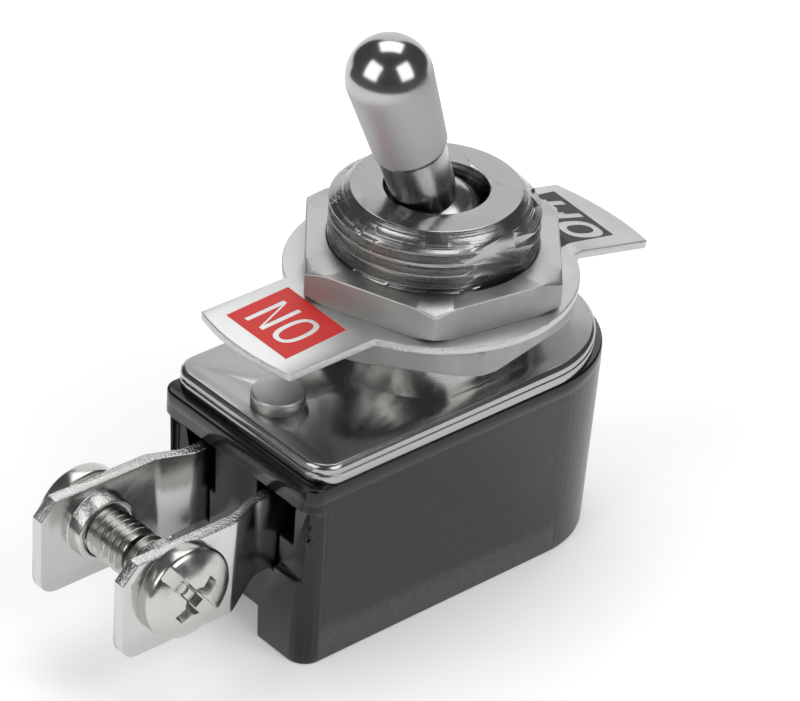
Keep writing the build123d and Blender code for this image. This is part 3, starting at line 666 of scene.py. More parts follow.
rounded(bushing, MOUTH_EDGE, at_mouth)
thread_blank = grown(
    "thread_blank",
    threading,
    {
        "Crest Radius": CREST_R * MM,
        "Thread Depth": THREAD_DEPTH * MM,
        "Pitch": THREAD_PITCH * MM,
        "Plain Radius": BLANK_R * MM,
        "Base": bushing_low.z - 1.0 * MM,
        "Start": upper_nut_high.z - 0.2 * MM,
        "End": bushing_high.z + 0.6 * MM,
        "Tip Radius": BLANK_TIP_R * MM,
        "Rows": BLANK_ROWS,
        "Segments": 192,
        "Material": nickel_turned,
    },
)
boolean(bushing, thread_blank, "INTERSECT")
smooth_to(bushing, 28)
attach(bushing, "body")
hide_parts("bushing")

# ---- Nuts ---------------------------------------------------------------------------------------
# Two thin hexagon nuts clamp the plate on the bushing. They are sliced from bar, turned down at
# their corners on both faces and nickel plated; the flats keep the drawn bar's lines.
NUT_FLATS = 14.2
NUT_FACE_R = 7.6
NUT_CONE_RUN = 2.0
NUT_BORE_R = 5.756
NUT_LEAD_IN = 0.22
NUT_WEAR = 0.07
lengths = ("Across Flats", "Thickness", "Bore Radius", "Lead In", "Face Radius", "Cone Run")
hexagon, given, result = shape_tree(
    "hexagon_nut",
    {label: "Float" for label in lengths} | {"Columns": "Int", "Material": "Material"},
)
SECTION_ROWS = 9
mesh, row, _, turn = grid_to_roll(hexagon, given["Columns"], SECTION_ROWS)
# A corner lies on +X: the flat's radius grows from the middle of a side to its corner.
in_side = add(hexagon, "ShaderNodeMath", {0: turn, 1: pi / 3}, operation="MODULO")
off_middle = add(hexagon, "ShaderNodeMath", {0: in_side.outputs[0], 1: -pi / 6}, operation="ADD")
leaning = add(hexagon, "ShaderNodeMath", {0: off_middle.outputs[0]}, operation="COSINE")
half_flats = add(hexagon, "ShaderNodeMath", {0: given["Across Flats"], 1: 0.5}, operation="MULTIPLY")
hex_r = add(
    hexagon,
    "ShaderNodeMath",
    {0: half_flats.outputs[0], 1: leaning.outputs[0]},
    operation="DIVIDE",
)
# The face reaches the flats along each side, and its own radius only near the corners.
face_r = add(
    hexagon,
    "ShaderNodeMath",
    {0: hex_r.outputs[0], 1: given["Face Radius"]},
    operation="MINIMUM",
)
past_face = add(
    hexagon,
    "ShaderNodeMath",
    {0: hex_r.outputs[0], 1: face_r.outputs[0]},
    operation="SUBTRACT",
)
drop = add(hexagon, "ShaderNodeMath", {0: past_face.outputs[0], 1: given["Cone Run"]}, operation="DIVIDE")
upper_drop = add(
    hexagon,
    "ShaderNodeMath",
    {0: given["Thickness"], 1: drop.outputs[0]},
    operation="SUBTRACT",
)
lead_r = add(hexagon, "ShaderNodeMath", {0: given["Bore Radius"], 1: given["Lead In"]}, operation="ADD")
lead_z = add(
    hexagon,
    "ShaderNodeMath",
    {0: given["Thickness"], 1: given["Lead In"]},
    operation="SUBTRACT",
)
# Nine rows go round the section: bore, lower face, side, upper face and bore again.
radius = add(hexagon, "GeometryNodeIndexSwitch", data_type="FLOAT")
level = add(hexagon, "GeometryNodeIndexSwitch", data_type="FLOAT")
section = [
    (given["Bore Radius"], given["Lead In"]),
    (lead_r.outputs[0], 0.0),
    (face_r.outputs[0], 0.0),
    (hex_r.outputs[0], drop.outputs[0]),
    (hex_r.outputs[0], upper_drop.outputs[0]),
    (face_r.outputs[0], given["Thickness"]),
    (lead_r.outputs[0], given["Thickness"]),
    (given["Bore Radius"], lead_z.outputs[0]),
    (given["Bore Radius"], given["Lead In"]),
]
for chooser, side in ((radius, 0), (level, 1)):
    hexagon.links.new(row, chooser.inputs["Index"])
    while len(chooser.index_switch_items) < len(section):
        chooser.index_switch_items.new()
    for i, values in enumerate(section):
        if isinstance(values[side], bpy.types.NodeSocket):
            hexagon.links.new(values[side], chooser.inputs[i + 1])
        else:
            chooser.inputs[i + 1].default_value = values[side]
roll_up(hexagon, mesh, turn, radius.outputs[0], level.outputs[0], given["Material"], result)

# Plated steel bar: bright faces, and upright lines 0.1 mm apart on the drawn flats.
nickel_nut, tree, surface = empty_material("nickel_plated_steel_nut")
place = add(tree, "ShaderNodeTexCoord").outputs["Object"]
upright = add(tree, "ShaderNodeMapping", {"Vector": place, "Scale": (9.0 / MM, 9.0 / MM, 0.5 / MM)})
drawn = add(
    tree,
    "ShaderNodeTexNoise",
    {"Vector": upright.outputs["Vector"], "Scale": 1.0, "Detail": 3.0},
)
wear = add(tree, "ShaderNodeTexNoise", {"Vector": place, "Scale": 0.7 / MM, "Detail": 4.0})
softness = add(
    tree,
    "ShaderNodeMapRange",
    {"Value": wear.outputs["Fac"], "From Min": 0.35, "From Max": 0.7, "To Min": 0.3, "To Max": 0.44},
)


def by_levelness(tree, steep, level, low, high):
    """A value from low on a face as steep as the first bound to high on one as level as the second."""
    normal = add(tree, "ShaderNodeNewGeometry").outputs["Normal"]
    facing_up = add(tree, "ShaderNodeSeparateXYZ", {0: normal})
    levelness = add(tree, "ShaderNodeMath", {0: facing_up.outputs["Z"]}, operation="ABSOLUTE")
    bounds = {
        "Value": levelness.outputs[0],
        "From Min": steep,
        "From Max": level,
        "To Min": low,
        "To Max": high,
    }
    return add(tree, "ShaderNodeMapRange", bounds).outputs["Result"]


# The flats are rougher than the turned faces.
flat_roughness = by_levelness(tree, 0.1, 0.4, 0.38, 0.0)
rougher = add(tree, "ShaderNodeMath", {0: softness.outputs["Result"], 1: flat_roughness})
bar_lines = add(
    tree,
    "ShaderNodeBump",
    {"Height": drawn.outputs["Fac"], "Strength": 0.8, "Distance": 0.02 * MM},
)
knocks = add(
    tree,
    "ShaderNodeBump",
    {
        "Height": wear.outputs["Fac"],
        "Strength": 0.5,
        "Distance": 0.03 * MM,
        "Normal": bar_lines.outputs["Normal"],
    },
)
nut_metal = add(
    tree,
    "ShaderNodeBsdfPrincipled",
    {
        "Base Color": linear("#BFBFBD"),
        "Metallic": 1.0,
        "Roughness": rougher.outputs[0],
        "Normal": knocks.outputs["Normal"],
    },
)
tree.links.new(nut_metal.outputs["BSDF"], surface)

for node, corner_turn in (("lower_nut", 10.1), ("upper_nut", -10.4)):
    low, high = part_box(node)
    nut = grown(
        node + "_turned",
        hexagon,
        {
            "Across Flats": NUT_FLATS * MM,
            "Thickness": high.z - low.z,
            "Bore Radius": NUT_BORE_R * MM,
            "Lead In": NUT_LEAD_IN * MM,
            "Face Radius": NUT_FACE_R * MM,
            "Cone Run": NUT_CONE_RUN,
            "Columns": 144,
            "Material": nickel_nut,
        },
    )
    nut.data.transform(Matrix.Translation((0, 0, low.z)) @ Matrix.Rotation(radians(corner_turn), 4, "Z"))
    for face in nut.data.polygons:
        face.use_smooth = True
    worn = nut.modifiers.new("worn_edges", "BEVEL")
    worn.width = NUT_WEAR * MM
    worn.segments = 2
    worn.limit_method = "ANGLE"
    worn.angle_limit = radians(40)
    worn.harden_normals = True
    worn.use_clamp_overlap = False
    plain_mesh(nut)
    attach(nut, "body")
    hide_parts(node)

# ---- Indicator plate ----------------------------------------------------------------------------
# A stamped ring with two fan tabs, one bent down a little, in satin nickel plated steel. Each tab
# has an enamel field, red and dark grey, that leaves its letters bare.

# Satin plate: pale and even, the reflections blurred by a fine grain.
satin_nickel, tree, surface = empty_material("satin_nickel_plate")
place = add(tree, "ShaderNodeTexCoord").outputs["Object"]
# Blasted grain of about 0.1 mm.
blast = add(tree, "ShaderNodeTexNoise", {"Vector": place, "Scale": 6.0 / MM, "Detail": 3.0})
pearl = add(
    tree,
    "ShaderNodeBump",
    {"Height": blast.outputs["Fac"], "Strength": 0.25, "Distance": 0.003 * MM},
)
# The sheared edge round it is granular.
sheared = add(
    tree,
    "ShaderNodeBump",
    {
        "Height": blast.outputs["Fac"],
        "Strength": by_levelness(tree, 0.5, 0.95, 1.0, 0.0),
        "Distance": 0.08 * MM,
        "Normal": pearl.outputs["Normal"],
    },
)
satin = add(
    tree,
    "ShaderNodeBsdfPrincipled",
    {
        "Base Color": linear("#D2D3D2"),
        "Metallic": 1.0,
        "Roughness": 0.42,
        "Normal": sheared.outputs["Normal"],
    },
)
tree.links.new(satin.outputs["BSDF"], surface)
dressed("indicator_plate", "indicator_ring_and_tabs", 0.06, satin_nickel)


def outline_slab(name, outlines, low, high):
    """Closed slabs between two heights: each entry is an outline and its hole or None."""
    shape = bmesh.new()
    for outer, hole in outlines:
        lower = [shape.verts.new((x * MM, y * MM, low * MM)) for x, y in outer]
        upper = [shape.verts.new((x * MM, y * MM, high * MM)) for x, y in outer]
        loops = [(lower, upper, 1)]
        if hole:
            hole_lower = [shape.verts.new((x * MM, y * MM, low * MM)) for x, y in hole]
            hole_upper = [shape.verts.new((x * MM, y * MM, high * MM)) for x, y in hole]
            loops.append((hole_lower, hole_upper, -1))
            for i in range(len(outer)):
                j = (i + 1) % len(outer)
                shape.faces.new((upper[i], upper[j], hole_upper[j], hole_upper[i]))
                shape.faces.new((lower[j], lower[i], hole_lower[i], hole_lower[j]))
        else:
            shape.faces.new(upper)
            shape.faces.new(lower[::-1])
        for bottom, top, way in loops:
            for i in range(len(bottom)):
                j = (i + 1) % len(bottom)
                wall = (bottom[i], bottom[j], top[j], top[i])
                shape.faces.new(wall[::way])
    bmesh.ops.recalc_face_normals(shape, faces=shape.faces)
    slab = bpy.data.meshes.new(name)
    shape.to_mesh(slab)
    shape.free()
    return placed(name, slab)


# Letters are drawn upright, x to the right and y up, from the lower left corner.
def letter_n(width, height, stroke):
    slant = 1.25 * stroke
    return [
        (0, 0),
        (stroke, 0),
        (stroke, height - slant),
        (width - stroke, 0),
        (width, 0),
        (width, height),
        (width - stroke, height),
        (width - stroke, slant),
        (stroke, height),
        (0, height),
    ]


def letter_f(width, height, stroke):
    middle = 0.36 * height
    return [
        (0, 0),
        (stroke, 0),
        (stroke, middle),
        (0.85 * width, middle),
        (0.85 * width, middle + stroke),
        (stroke, middle + stroke),
        (stroke, height - stroke),
        (width, height - stroke),
        (width, height),
        (0, height),
    ]


def letter_o(width, height):
    """A tall round loop, fuller than an ellipse."""
    loop = []
    for i in range(48):
        c = cos(2 * pi * i / 48)
        s = sin(2 * pi * i / 48)
        reach = (abs(c) ** 2.5 + abs(s) ** 2.5) ** (-1 / 2.5)
        loop.append((width / 2 * c * reach, height / 2 * s * reach))
    return loop


def laid(outline, x, y, turn_degrees):
    """A letter's outline on the plate: its top points to -X and it reads along +Y."""
    c = cos(radians(turn_degrees))
    s = sin(radians(turn_degrees))
    return [(x - v * c - u * s, y + u * c - v * s) for u, v in outline]


# Stove enamel: even colour, glossy, with a slight orange peel.
enamels = {}
for name, colour in (("stove_enamel_red", "#C8302C"), ("stove_enamel_dark_grey", "#2B2B2C")):
    enamels[name], tree, surface = empty_material(name)
    place = add(tree, "ShaderNodeTexCoord").outputs["Object"]
    peel = add(tree, "ShaderNodeTexNoise", {"Vector": place, "Scale": 2.5 / MM, "Detail": 1.0})
    flow = add(
        tree,
        "ShaderNodeBump",
        {"Height": peel.outputs["Fac"], "Strength": 0.3, "Distance": 0.006 * MM},
    )
    coat = add(
        tree,
        "ShaderNodeBsdfPrincipled",
        {"Base Color": linear(colour), "Roughness": 0.45, "IOR": 1.36, "Normal": flow.outputs["Normal"]},
    )
    tree.links.new(coat.outputs["BSDF"], surface)

BEND_X = 8.0
BEND = 13.0
DISC_EDGE = 8.362
# The enamel's film stands over the plate's top; its slabs and their stencils start below that.
FILM = 0.012
FILM_FOOT = -0.02
STENCIL_HALF = 0.05
RIM_FOOT = -0.1
plate_top = upper_nut_low.z / MM
fields = [
    # name, material, field corners, the print's turn, letters with their holes and places
    (
        "enamel_field_on",
        "stove_enamel_red",
        [(-12.61, -2.55), (-8.14, -2.26), (-7.93, 2.97), (-12.49, 2.75)],
        3.0,
        [
            (letter_o(1.64, 2.9), letter_o(1.02, 2.28), -10.4, -0.72),
            (letter_n(1.5, 2.9, 0.32), None, -8.92, 0.57),
        ],
    ),
    (
        "enamel_field_off",
        "stove_enamel_dark_grey",
        [(7.2, -2.83), (11.7, -2.64), (12.4, 3.08), (7.3, 2.65)],
        -7.0,
        [
            (letter_o(2.15, 2.75), letter_o(1.05, 1.7), 10.1, -1.5),
            (letter_f(0.95, 2.8, 0.54), None, 11.7, -0.25),
            (letter_f(0.95, 2.8, 0.54), None, 11.85, 1.41),
        ],
    ),
]
for name, enamel, corners, print_turn, letters in fields:
    field = outline_slab(name, [(corners, None)], FILM_FOOT, FILM)
    shapes = []
    for outline, hole, x, y in letters:
        shapes.append((laid(outline, x, y, print_turn), laid(hole, x, y, print_turn) if hole else None))
    boolean(field, outline_slab(name + "_stencil", shapes, -STENCIL_HALF, STENCIL_HALF), "DIFFERENCE")
    # Follow the bent tab past its fold.
    shape = bmesh.new()
    shape.from_mesh(field.data)
    everything = shape.verts[:] + shape.edges[:] + shape.faces[:]
    fold = Vector((BEND_X * MM, 0, 0))
    bmesh.ops.bisect_plane(shape, geom=everything, plane_co=fold, plane_no=(1, 0, 0), dist=0.0001 * MM)
    for vertex in shape.verts:
        past = vertex.co.x - BEND_X * MM
        if past > 0:
            lift = vertex.co.z
            vertex.co.x = BEND_X * MM + past * cos(radians(BEND)) + lift * sin(radians(BEND))
            vertex.co.z = lift * cos(radians(BEND)) - past * sin(radians(BEND))
        vertex.co.z += plate_top * MM
    if corners[1][0] > BEND_X:
        # The round disc stays flat a little past the fold, and the enamel runs on over it.
        half_angle = degrees(acos(BEND_X / DISC_EDGE))
        rim_points = [(x, y) for x, _, y in arc((0, 0), DISC_EDGE, -half_angle, half_angle, 16)]
        disc_rim = outline_slab("disc_rim", [(rim_points, None)], RIM_FOOT, FILM)
        disc_rim.data.transform(Matrix.Translation((0, 0, plate_top * MM)))
        shape.from_mesh(disc_rim.data)
        bpy.data.objects.remove(disc_rim)
    shape.to_mesh(field.data)
    shape.free()
    field.data.materials.clear()
    field.data.materials.append(enamels[enamel])
    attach(field, "body")

# ---- Lever, pin, spring and plunger -------------------------------------------------------------
# The bat lever is turned from steel in one piece with its ball and hollow lower arm, then chrome
# plated. A steel pin through the ball swings in the bushing; spring and nylon plunger sit inside.
PIVOT_Z = 21.4
LEAN = -20.6
BALL_R = 2.90
NECK_R = 1.8
SHOULDER_S = 6.15
TIP_S = 11.4
TIP_R = 2.42
ARM_R = 1.65
ARM_END = 7.0
ARM_CUT = 1.45
SPRING_BORE_R = 1.15
# Chrome plate: the taper is left satin from the lathe, and the tip is buffed mirror bright.
chrome, tree, surface = empty_material("chrome_plated_steel_polished")
place = add(tree, "ShaderNodeTexCoord").outputs["Object"]
haze = add(tree, "ShaderNodeTexNoise", {"Vector": place, "Scale": 0.5 / MM, "Detail": 2.0})
lever_axis = (sin(radians(LEAN)), 0, cos(radians(LEAN)))
along_lever = add(tree, "ShaderNodeVectorMath", {0: place, 1: lever_axis}, operation="DOT_PRODUCT")
pivot_along = PIVOT_Z * cos(radians(LEAN)) * MM
LEVER_REACH = 14.0
reach = add(
    tree,
    "ShaderNodeMapRange",
    {
        "Value": along_lever.outputs["Value"],
        "From Min": pivot_along,
        "From Max": pivot_along + LEVER_REACH * MM,
    },
)
# Roughness from the ball out: neck, the step to the satin bat, and the buffed tip.
finish = add(tree, "ShaderNodeValToRGB", {"Fac": reach.outputs["Result"]})
stops = finish.color_ramp.elements
stops[0].position = SHOULDER_S / LEVER_REACH
stops[0].color = (0.2, 0.2, 0.2, 1)
stops[1].position = (TIP_S + 0.7) / LEVER_REACH
stops[1].color = (0.15, 0.15, 0.15, 1)
for station in (SHOULDER_S + 0.2, TIP_S + 0.1):
    stops.new(station / LEVER_REACH).color = (0.5, 0.5, 0.5, 1)
unevenness = add(tree, "ShaderNodeMath", {0: haze.outputs["Fac"], 1: 0.06}, operation="MULTIPLY")
softness = add(tree, "ShaderNodeMath", {0: finish.outputs["Color"], 1: unevenness.outputs[0]})
polish = add(
    tree,
    "ShaderNodeBump",
    {"Height": haze.outputs["Fac"], "Strength": 0.2, "Distance": 0.02 * MM},
)
mirror = add(
    tree,
    "ShaderNodeBsdfPrincipled",
    {
        "Base Color": linear("#B9B9BA"),
        "Metallic": 1.0,
        "Roughness": softness.outputs[0],
        "Normal": polish.outputs["Normal"],
    },
)
tree.links.new(mirror.outputs["BSDF"], surface)

ball_start = -degrees(atan2(ARM_CUT, sqrt(BALL_R**2 - ARM_CUT**2)))
ball_end = degrees(atan2(sqrt(BALL_R**2 - NECK_R**2), NECK_R))
lever_profile = [(0, 0, -2.2), (SPRING_BORE_R, 0, -2.2), (SPRING_BORE_R, 0, -ARM_END)]
lever_profile += [(ARM_R - 0.05, 0, -ARM_END), (ARM_R, 0, 0.05 - ARM_END), (ARM_R, 0, -3.4)]
lever_profile += arc((0, 0), BALL_R, ball_start, ball_end, 22)
# Neck with a hollow run-out at the ball and under the bat's shoulder.
lever_profile += [(NECK_R + 0.15 * i / 6, 0, 2.5 + 3.5 * i / 6) for i in range(7)]
lever_profile += [(1.97, 0, SHOULDER_S), (2.03, 0, SHOULDER_S + 0.08)]
lever_profile += arc((1.99, 6.37), 0.12, -40, 4, 3)
lever_profile += [(2.11 + 0.31 * i / 8, 0, 6.4 + 5.0 * i / 8) for i in range(1, 8)]
lever_profile += arc((0, TIP_S), TIP_R, 0, 90, 24)
lever = grown("lever_bat", turning, {"Segments": 96, "Material": chrome}, lever_profile)
lean = Matrix.Translation((0, 0, PIVOT_Z * MM)) @ Matrix.Rotation(radians(LEAN), 4, "Y")
lever.data.transform(lean)
smooth_to(lever, 35)
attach(lever, "lever")
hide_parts("lever")

# Ground steel pin and hardened spring wire: grey, fairly bright, with a fine mottle from grinding.
steel, tree, surface = empty_material("spring_steel_ground")
place = add(tree, "ShaderNodeTexCoord").outputs["Object"]
grinding = add(tree, "ShaderNodeTexNoise", {"Vector": place, "Scale": 8.0 / MM, "Detail": 2.0})
softness = add(
    tree,
    "ShaderNodeMapRange",
    {"Value": grinding.outputs["Fac"], "From Min": 0.3, "From Max": 0.7, "To Min": 0.25, "To Max": 0.4},
)
wire = add(
    tree,
    "ShaderNodeBsdfPrincipled",
    {"Base Color": linear("#9A9A9C"), "Metallic": 1.0, "Roughness": softness.outputs["Result"]},
)
tree.links.new(wire.outputs["BSDF"], surface)

# Natural nylon: milky and slightly waxy.
nylon, tree, surface = empty_material("nylon_moulded_natural")
place = add(tree, "ShaderNodeTexCoord").outputs["Object"]
milk = add(tree, "ShaderNodeTexNoise", {"Vector": place, "Scale": 1.2 / MM, "Detail": 2.0})
tone = add(tree, "ShaderNodeValToRGB", {"Fac": milk.outputs["Fac"]})
tone.color_ramp.elements[0].color = linear("#D9D4C6")
tone.color_ramp.elements[1].color = linear("#E6E2D6")
waxy = add(
    tree,
    "ShaderNodeBsdfPrincipled",
    {"Base Color": tone.outputs["Color"], "Roughness": 0.4, "IOR": 1.53},
)
tree.links.new(waxy.outputs["BSDF"], surface)
for node, material in (("pivot_pin", steel), ("lever_spring", steel), ("plunger", nylon)):
    coated(node, material)

# ---- Rocker, bracket and contacts ---------------------------------------------------------------
# Inside the housing a brass rocker rests in a folded brass bracket and carries a silver contact,
# which closes on a fixed one. They are seen only through the windows.

# Stamped brass: yellow, half dull, clouded by handling.
brass, tree, surface = empty_material("brass_stamped")
place = add(tree, "ShaderNodeTexCoord").outputs["Object"]
tarnish = add(tree, "ShaderNodeTexNoise", {"Vector": place, "Scale": 0.8 / MM, "Detail": 4.0})
softness = add(
    tree,
    "ShaderNodeMapRange",
    {"Value": tarnish.outputs["Fac"], "From Min": 0.3, "From Max": 0.7, "To Min": 0.25, "To Max": 0.45},
)
stamped = add(
    tree,
    "ShaderNodeBsdfPrincipled",
    {"Base Color": linear("#C9A45C"), "Metallic": 1.0, "Roughness": softness.outputs["Result"]},
)
tree.links.new(stamped.outputs["BSDF"], surface)

# Contact silver: nearly white, soft polish.
silver, tree, surface = empty_material("contact_silver")
place = add(tree, "ShaderNodeTexCoord").outputs["Object"]
frost = add(tree, "ShaderNodeTexNoise", {"Vector": place, "Scale": 4.0 / MM, "Detail": 2.0})
softness = add(
    tree,
    "ShaderNodeMapRange",
    {"Value": frost.outputs["Fac"], "From Min": 0.3, "From Max": 0.7, "To Min": 0.2, "To Max": 0.35},
)
contact = add(
    tree,
    "ShaderNodeBsdfPrincipled",
    {"Base Color": linear("#E4E2DE"), "Metallic": 1.0, "Roughness": softness.outputs["Result"]},
)
tree.links.new(contact.outputs["BSDF"], surface)
for node in ("rocker", "fulcrum"):
    coated(node, brass)
for node in ("moving_contact", "fixed_contact"):
    coated(node, silver)

# ---- Terminals ----------------------------------------------------------------------------------
# Two brass strips leave the windows on edge, step outwards and end in flat tongues for the screws,
# each tapped in a collar drawn to the inside. Bright nickel plated, edges rounded by tumbling.

# Bright nickel on tumbled strip: mirror-like, broken up by shallow dimples.
bright_nickel, tree, surface = empty_material("bright_nickel_plated_brass_strip")
place = add(tree, "ShaderNodeTexCoord").outputs["Object"]
dimples = add(tree, "ShaderNodeTexNoise", {"Vector": place, "Scale": 0.45 / MM, "Detail": 3.0})
softness = add(
    tree,
    "ShaderNodeMapRange",
    {"Value": dimples.outputs["Fac"], "From Min": 0.3, "From Max": 0.7, "To Min": 0.14, "To Max": 0.26},
)
tumbled = add(
    tree,
    "ShaderNodeBump",
    {"Height": dimples.outputs["Fac"], "Strength": 0.5, "Distance": 0.04 * MM},
)
# Sheared edges, which face up and down, are granular.
grit = add(tree, "ShaderNodeTexNoise", {"Vector": place, "Scale": 7.0 / MM, "Detail": 3.0})
sheared = add(
    tree,
    "ShaderNodeBump",
    {
        "Height": grit.outputs["Fac"],
        "Strength": by_levelness(tree, 0.3, 0.8, 0.0, 1.0),
        "Distance": 0.06 * MM,
        "Normal": tumbled.outputs["Normal"],
    },
)
strip_metal = add(
    tree,
    "ShaderNodeBsdfPrincipled",
    {
        "Base Color": linear("#CBCBC9"),
        "Metallic": 1.0,
        "Roughness": softness.outputs["Result"],
        "Normal": sheared.outputs["Normal"],
    },
)
tree.links.new(strip_metal.outputs["BSDF"], surface)
dressed("terminal_near", "terminal_strip_near", 0.08, bright_nickel)
dressed("terminal_far", "terminal_strip_far", 0.08, bright_nickel)

# ---- Terminal screws ----------------------------------------------------------------------------
# M3 machine screws with domed heads for either driver: a cross recess and a slot over it. One goes
# through each strip from its outside. Nickel plated steel, the mouth of the recess a little rounded.

# Plated steel screw: bright, a little uneven from heading and from screwdrivers.
screw_nickel, tree, surface = empty_material("nickel_plated_steel_screw")
place = add(tree, "ShaderNodeTexCoord").outputs["Object"]
scuff = add(tree, "ShaderNodeTexNoise", {"Vector": place, "Scale": 1.2 / MM, "Detail": 4.0})
softness = add(
    tree,
    "ShaderNodeMapRange",
    {"Value": scuff.outputs["Fac"], "From Min": 0.3, "From Max": 0.7, "To Min": 0.14, "To Max": 0.3},
)
heading = add(
    tree,
    "ShaderNodeBump",
    {"Height": scuff.outputs["Fac"], "Strength": 0.4, "Distance": 0.015 * MM},
)
screw_metal = add(
    tree,
    "ShaderNodeBsdfPrincipled",
    {
        "Base Color": linear("#C6C5C2"),
        "Metallic": 1.0,
        "Roughness": softness.outputs["Result"],
        "Normal": heading.outputs["Normal"],
    },
)
tree.links.new(screw_metal.outputs["BSDF"], surface)

HEAD_R = 2.8
HEAD_H = 1.85
HEAD_SIDE = 1.0
SHANK_R = 1.5
SHANK_OVERLAP = 0.3
SHANK_CORE_R = 1.2
SHANK_END_R = 1.1
SCREW_PITCH = 0.5
SCREW_THREAD_DEPTH = 0.3
SPARE_ROWS = 38
dome_h = HEAD_H - HEAD_SIDE
dome_r = (HEAD_R**2 + dome_h**2) / (2 * dome_h)
dome_start = 90 - degrees(atan2(HEAD_R, dome_r - dome_h))
head_profile = [(0, 0, 0), (HEAD_R - 0.12, 0, 0), (HEAD_R - 0.03, 0, 0.04), (HEAD_R, 0, 0.14)]
head_profile += [(HEAD_R, 0, HEAD_SIDE - 0.18), (HEAD_R - 0.02, 0, HEAD_SIDE - 0.06)]
head_profile += arc((0, HEAD_H - dome_r), dome_r, dome_start + 1.6, 90, 18)
RECESS_TURN = 38.0
SLOT_W = 0.8
SLOT_DEPTH = 0.85
# Half length and half width of the cross's arms, at the top and at the floor.
CROSS_TOP = (1.62, 0.40)
CROSS_FLOOR = (1.0, 0.26)
CROSS_DEPTH = 1.35
CORE_POINT_R = 0.35
CORE_TOP_R = 0.9
CORE_H = 1.6
CORE_MIDDLE = 0.7
PUNCH_ABOVE = 0.1
MOUTH_ROUNDING = 0.05
for node, side in (("screw_near", -1), ("screw_far", 1)):
    low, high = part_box(node)
    seat_y = (high.y if side > 0 else low.y) / MM - side * HEAD_H
    tip_y = (low.y if side > 0 else high.y) / MM
    length = abs(seat_y - tip_y)
    head = grown(node + "_driven", turning, {"Segments": 72, "Material": screw_nickel}, head_profile)
    shank = grown(
        node + "_shank",
        threading,
        {
            "Crest Radius": (SHANK_R - 0.01) * MM,
            "Thread Depth": SCREW_THREAD_DEPTH * MM,
            "Pitch": SCREW_PITCH * MM,
            "Plain Radius": SHANK_CORE_R * MM,
            "Base": -length * MM,
            "Start": -length * MM,
            "End": SHANK_OVERLAP * MM,
            "Tip Radius": SHANK_END_R * MM,
            "Rows": int(TURN_ROWS * (length + SHANK_OVERLAP) / SCREW_PITCH) + SPARE_ROWS,
            "Segments": 64,
            "Material": screw_nickel,
        },
    )
    # Two crossed bars that taper, a bar for the slot and a tapering core make up the punch.
    punch = bmesh.new()
    for quarter in (0, pi / 2):
        bar = bmesh.ops.create_cone(
            punch, cap_ends=True, segments=4, radius1=sqrt(0.5), radius2=sqrt(0.5), depth=1.0
        )["verts"]
        square_up = Matrix.Rotation(pi / 4, 4, "Z")
        bmesh.ops.transform(punch, matrix=square_up, verts=bar)
        for vertex in bar:
            top = vertex.co.z > 0
            reach, half = CROSS_TOP if top else CROSS_FLOOR
            level = HEAD_H + PUNCH_ABOVE if top else HEAD_H - CROSS_DEPTH
            vertex.co = Vector((vertex.co.x * 2 * reach, vertex.co.y * 2 * half, level))
        bmesh.ops.transform(punch, matrix=Matrix.Rotation(quarter, 4, "Z"), verts=bar)
    slot = bmesh.ops.create_cube(punch, size=1.0)["verts"]
    bmesh.ops.scale(punch, vec=(SLOT_W, 2 * HEAD_R + 1.0, SLOT_DEPTH + 2 * PUNCH_ABOVE), verts=slot)
    slot_at = Matrix.Translation((0, 0, HEAD_H - SLOT_DEPTH / 2 + PUNCH_ABOVE))
    bmesh.ops.transform(punch, matrix=slot_at, verts=slot)
    core = bmesh.ops.create_cone(
        punch, cap_ends=True, segments=24, radius1=CORE_POINT_R, radius2=CORE_TOP_R, depth=CORE_H
    )["verts"]
    bmesh.ops.transform(punch, matrix=Matrix.Translation((0, 0, HEAD_H - CORE_MIDDLE)), verts=core)
    bmesh.ops.scale(punch, vec=(MM, MM, MM), verts=punch.verts)
    bmesh.ops.transform(punch, matrix=Matrix.Rotation(radians(RECESS_TURN), 4, "Z"), verts=punch.verts)
    bmesh.ops.recalc_face_normals(punch, faces=punch.faces)
    punch_mesh = bpy.data.meshes.new(node + "_punch")
    punch_mesh.materials.append(screw_nickel)
    punch.to_mesh(punch_mesh)
    punch.free()
    boolean(head, placed(node + "_punch", punch_mesh), "DIFFERENCE", crossing=True)
    mouth = head.modifiers.new("mouth", "BEVEL")
    mouth.width = MOUTH_ROUNDING * MM
    mouth.segments = 2
    mouth.limit_method = "ANGLE"
    mouth.angle_limit = radians(30)
    mouth.use_clamp_overlap = True
    plain_mesh(head)
    boolean(head, shank, "UNION")
    # The screw's own axis is turned from Z to the strip's outer side.
    stand = Matrix.Rotation(-side * pi / 2, 4, "X")
    place_at = Matrix.Translation(((low.x + high.x) / 2, seat_y * MM, (low.z + high.z) / 2))
    head.data.transform(place_at @ stand)
    smooth_to(head, 32)
    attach(head, node)
    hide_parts(node)

# ---- Floor, light and camera --------------------------------------------------------------------
# White table and surround, three soft boxes, and the dark room behind the camera that gives the
# bright metal its darker reflections.
FLOOR_HALF = 1.5
FADE_START = 0.03
FADE_END = 0.12


def seen_by(tree):
    """Whether a ray is the camera's own, and whether the camera sees by it, straight or otherwise."""
    light_path = add(tree, "ShaderNodeLightPath").outputs
    mirrored = {0: light_path["Is Camera Ray"], 1: light_path["Is Glossy Ray"]}
    seen = add(tree, "ShaderNodeMath", mirrored, operation="MAXIMUM")
    through = {0: seen.outputs[0], 1: light_path["Is Transmission Ray"]}
    seen_through = add(tree, "ShaderNodeMath", through, operation="MAXIMUM")
    return light_path["Is Camera Ray"], seen_through.outputs[0]


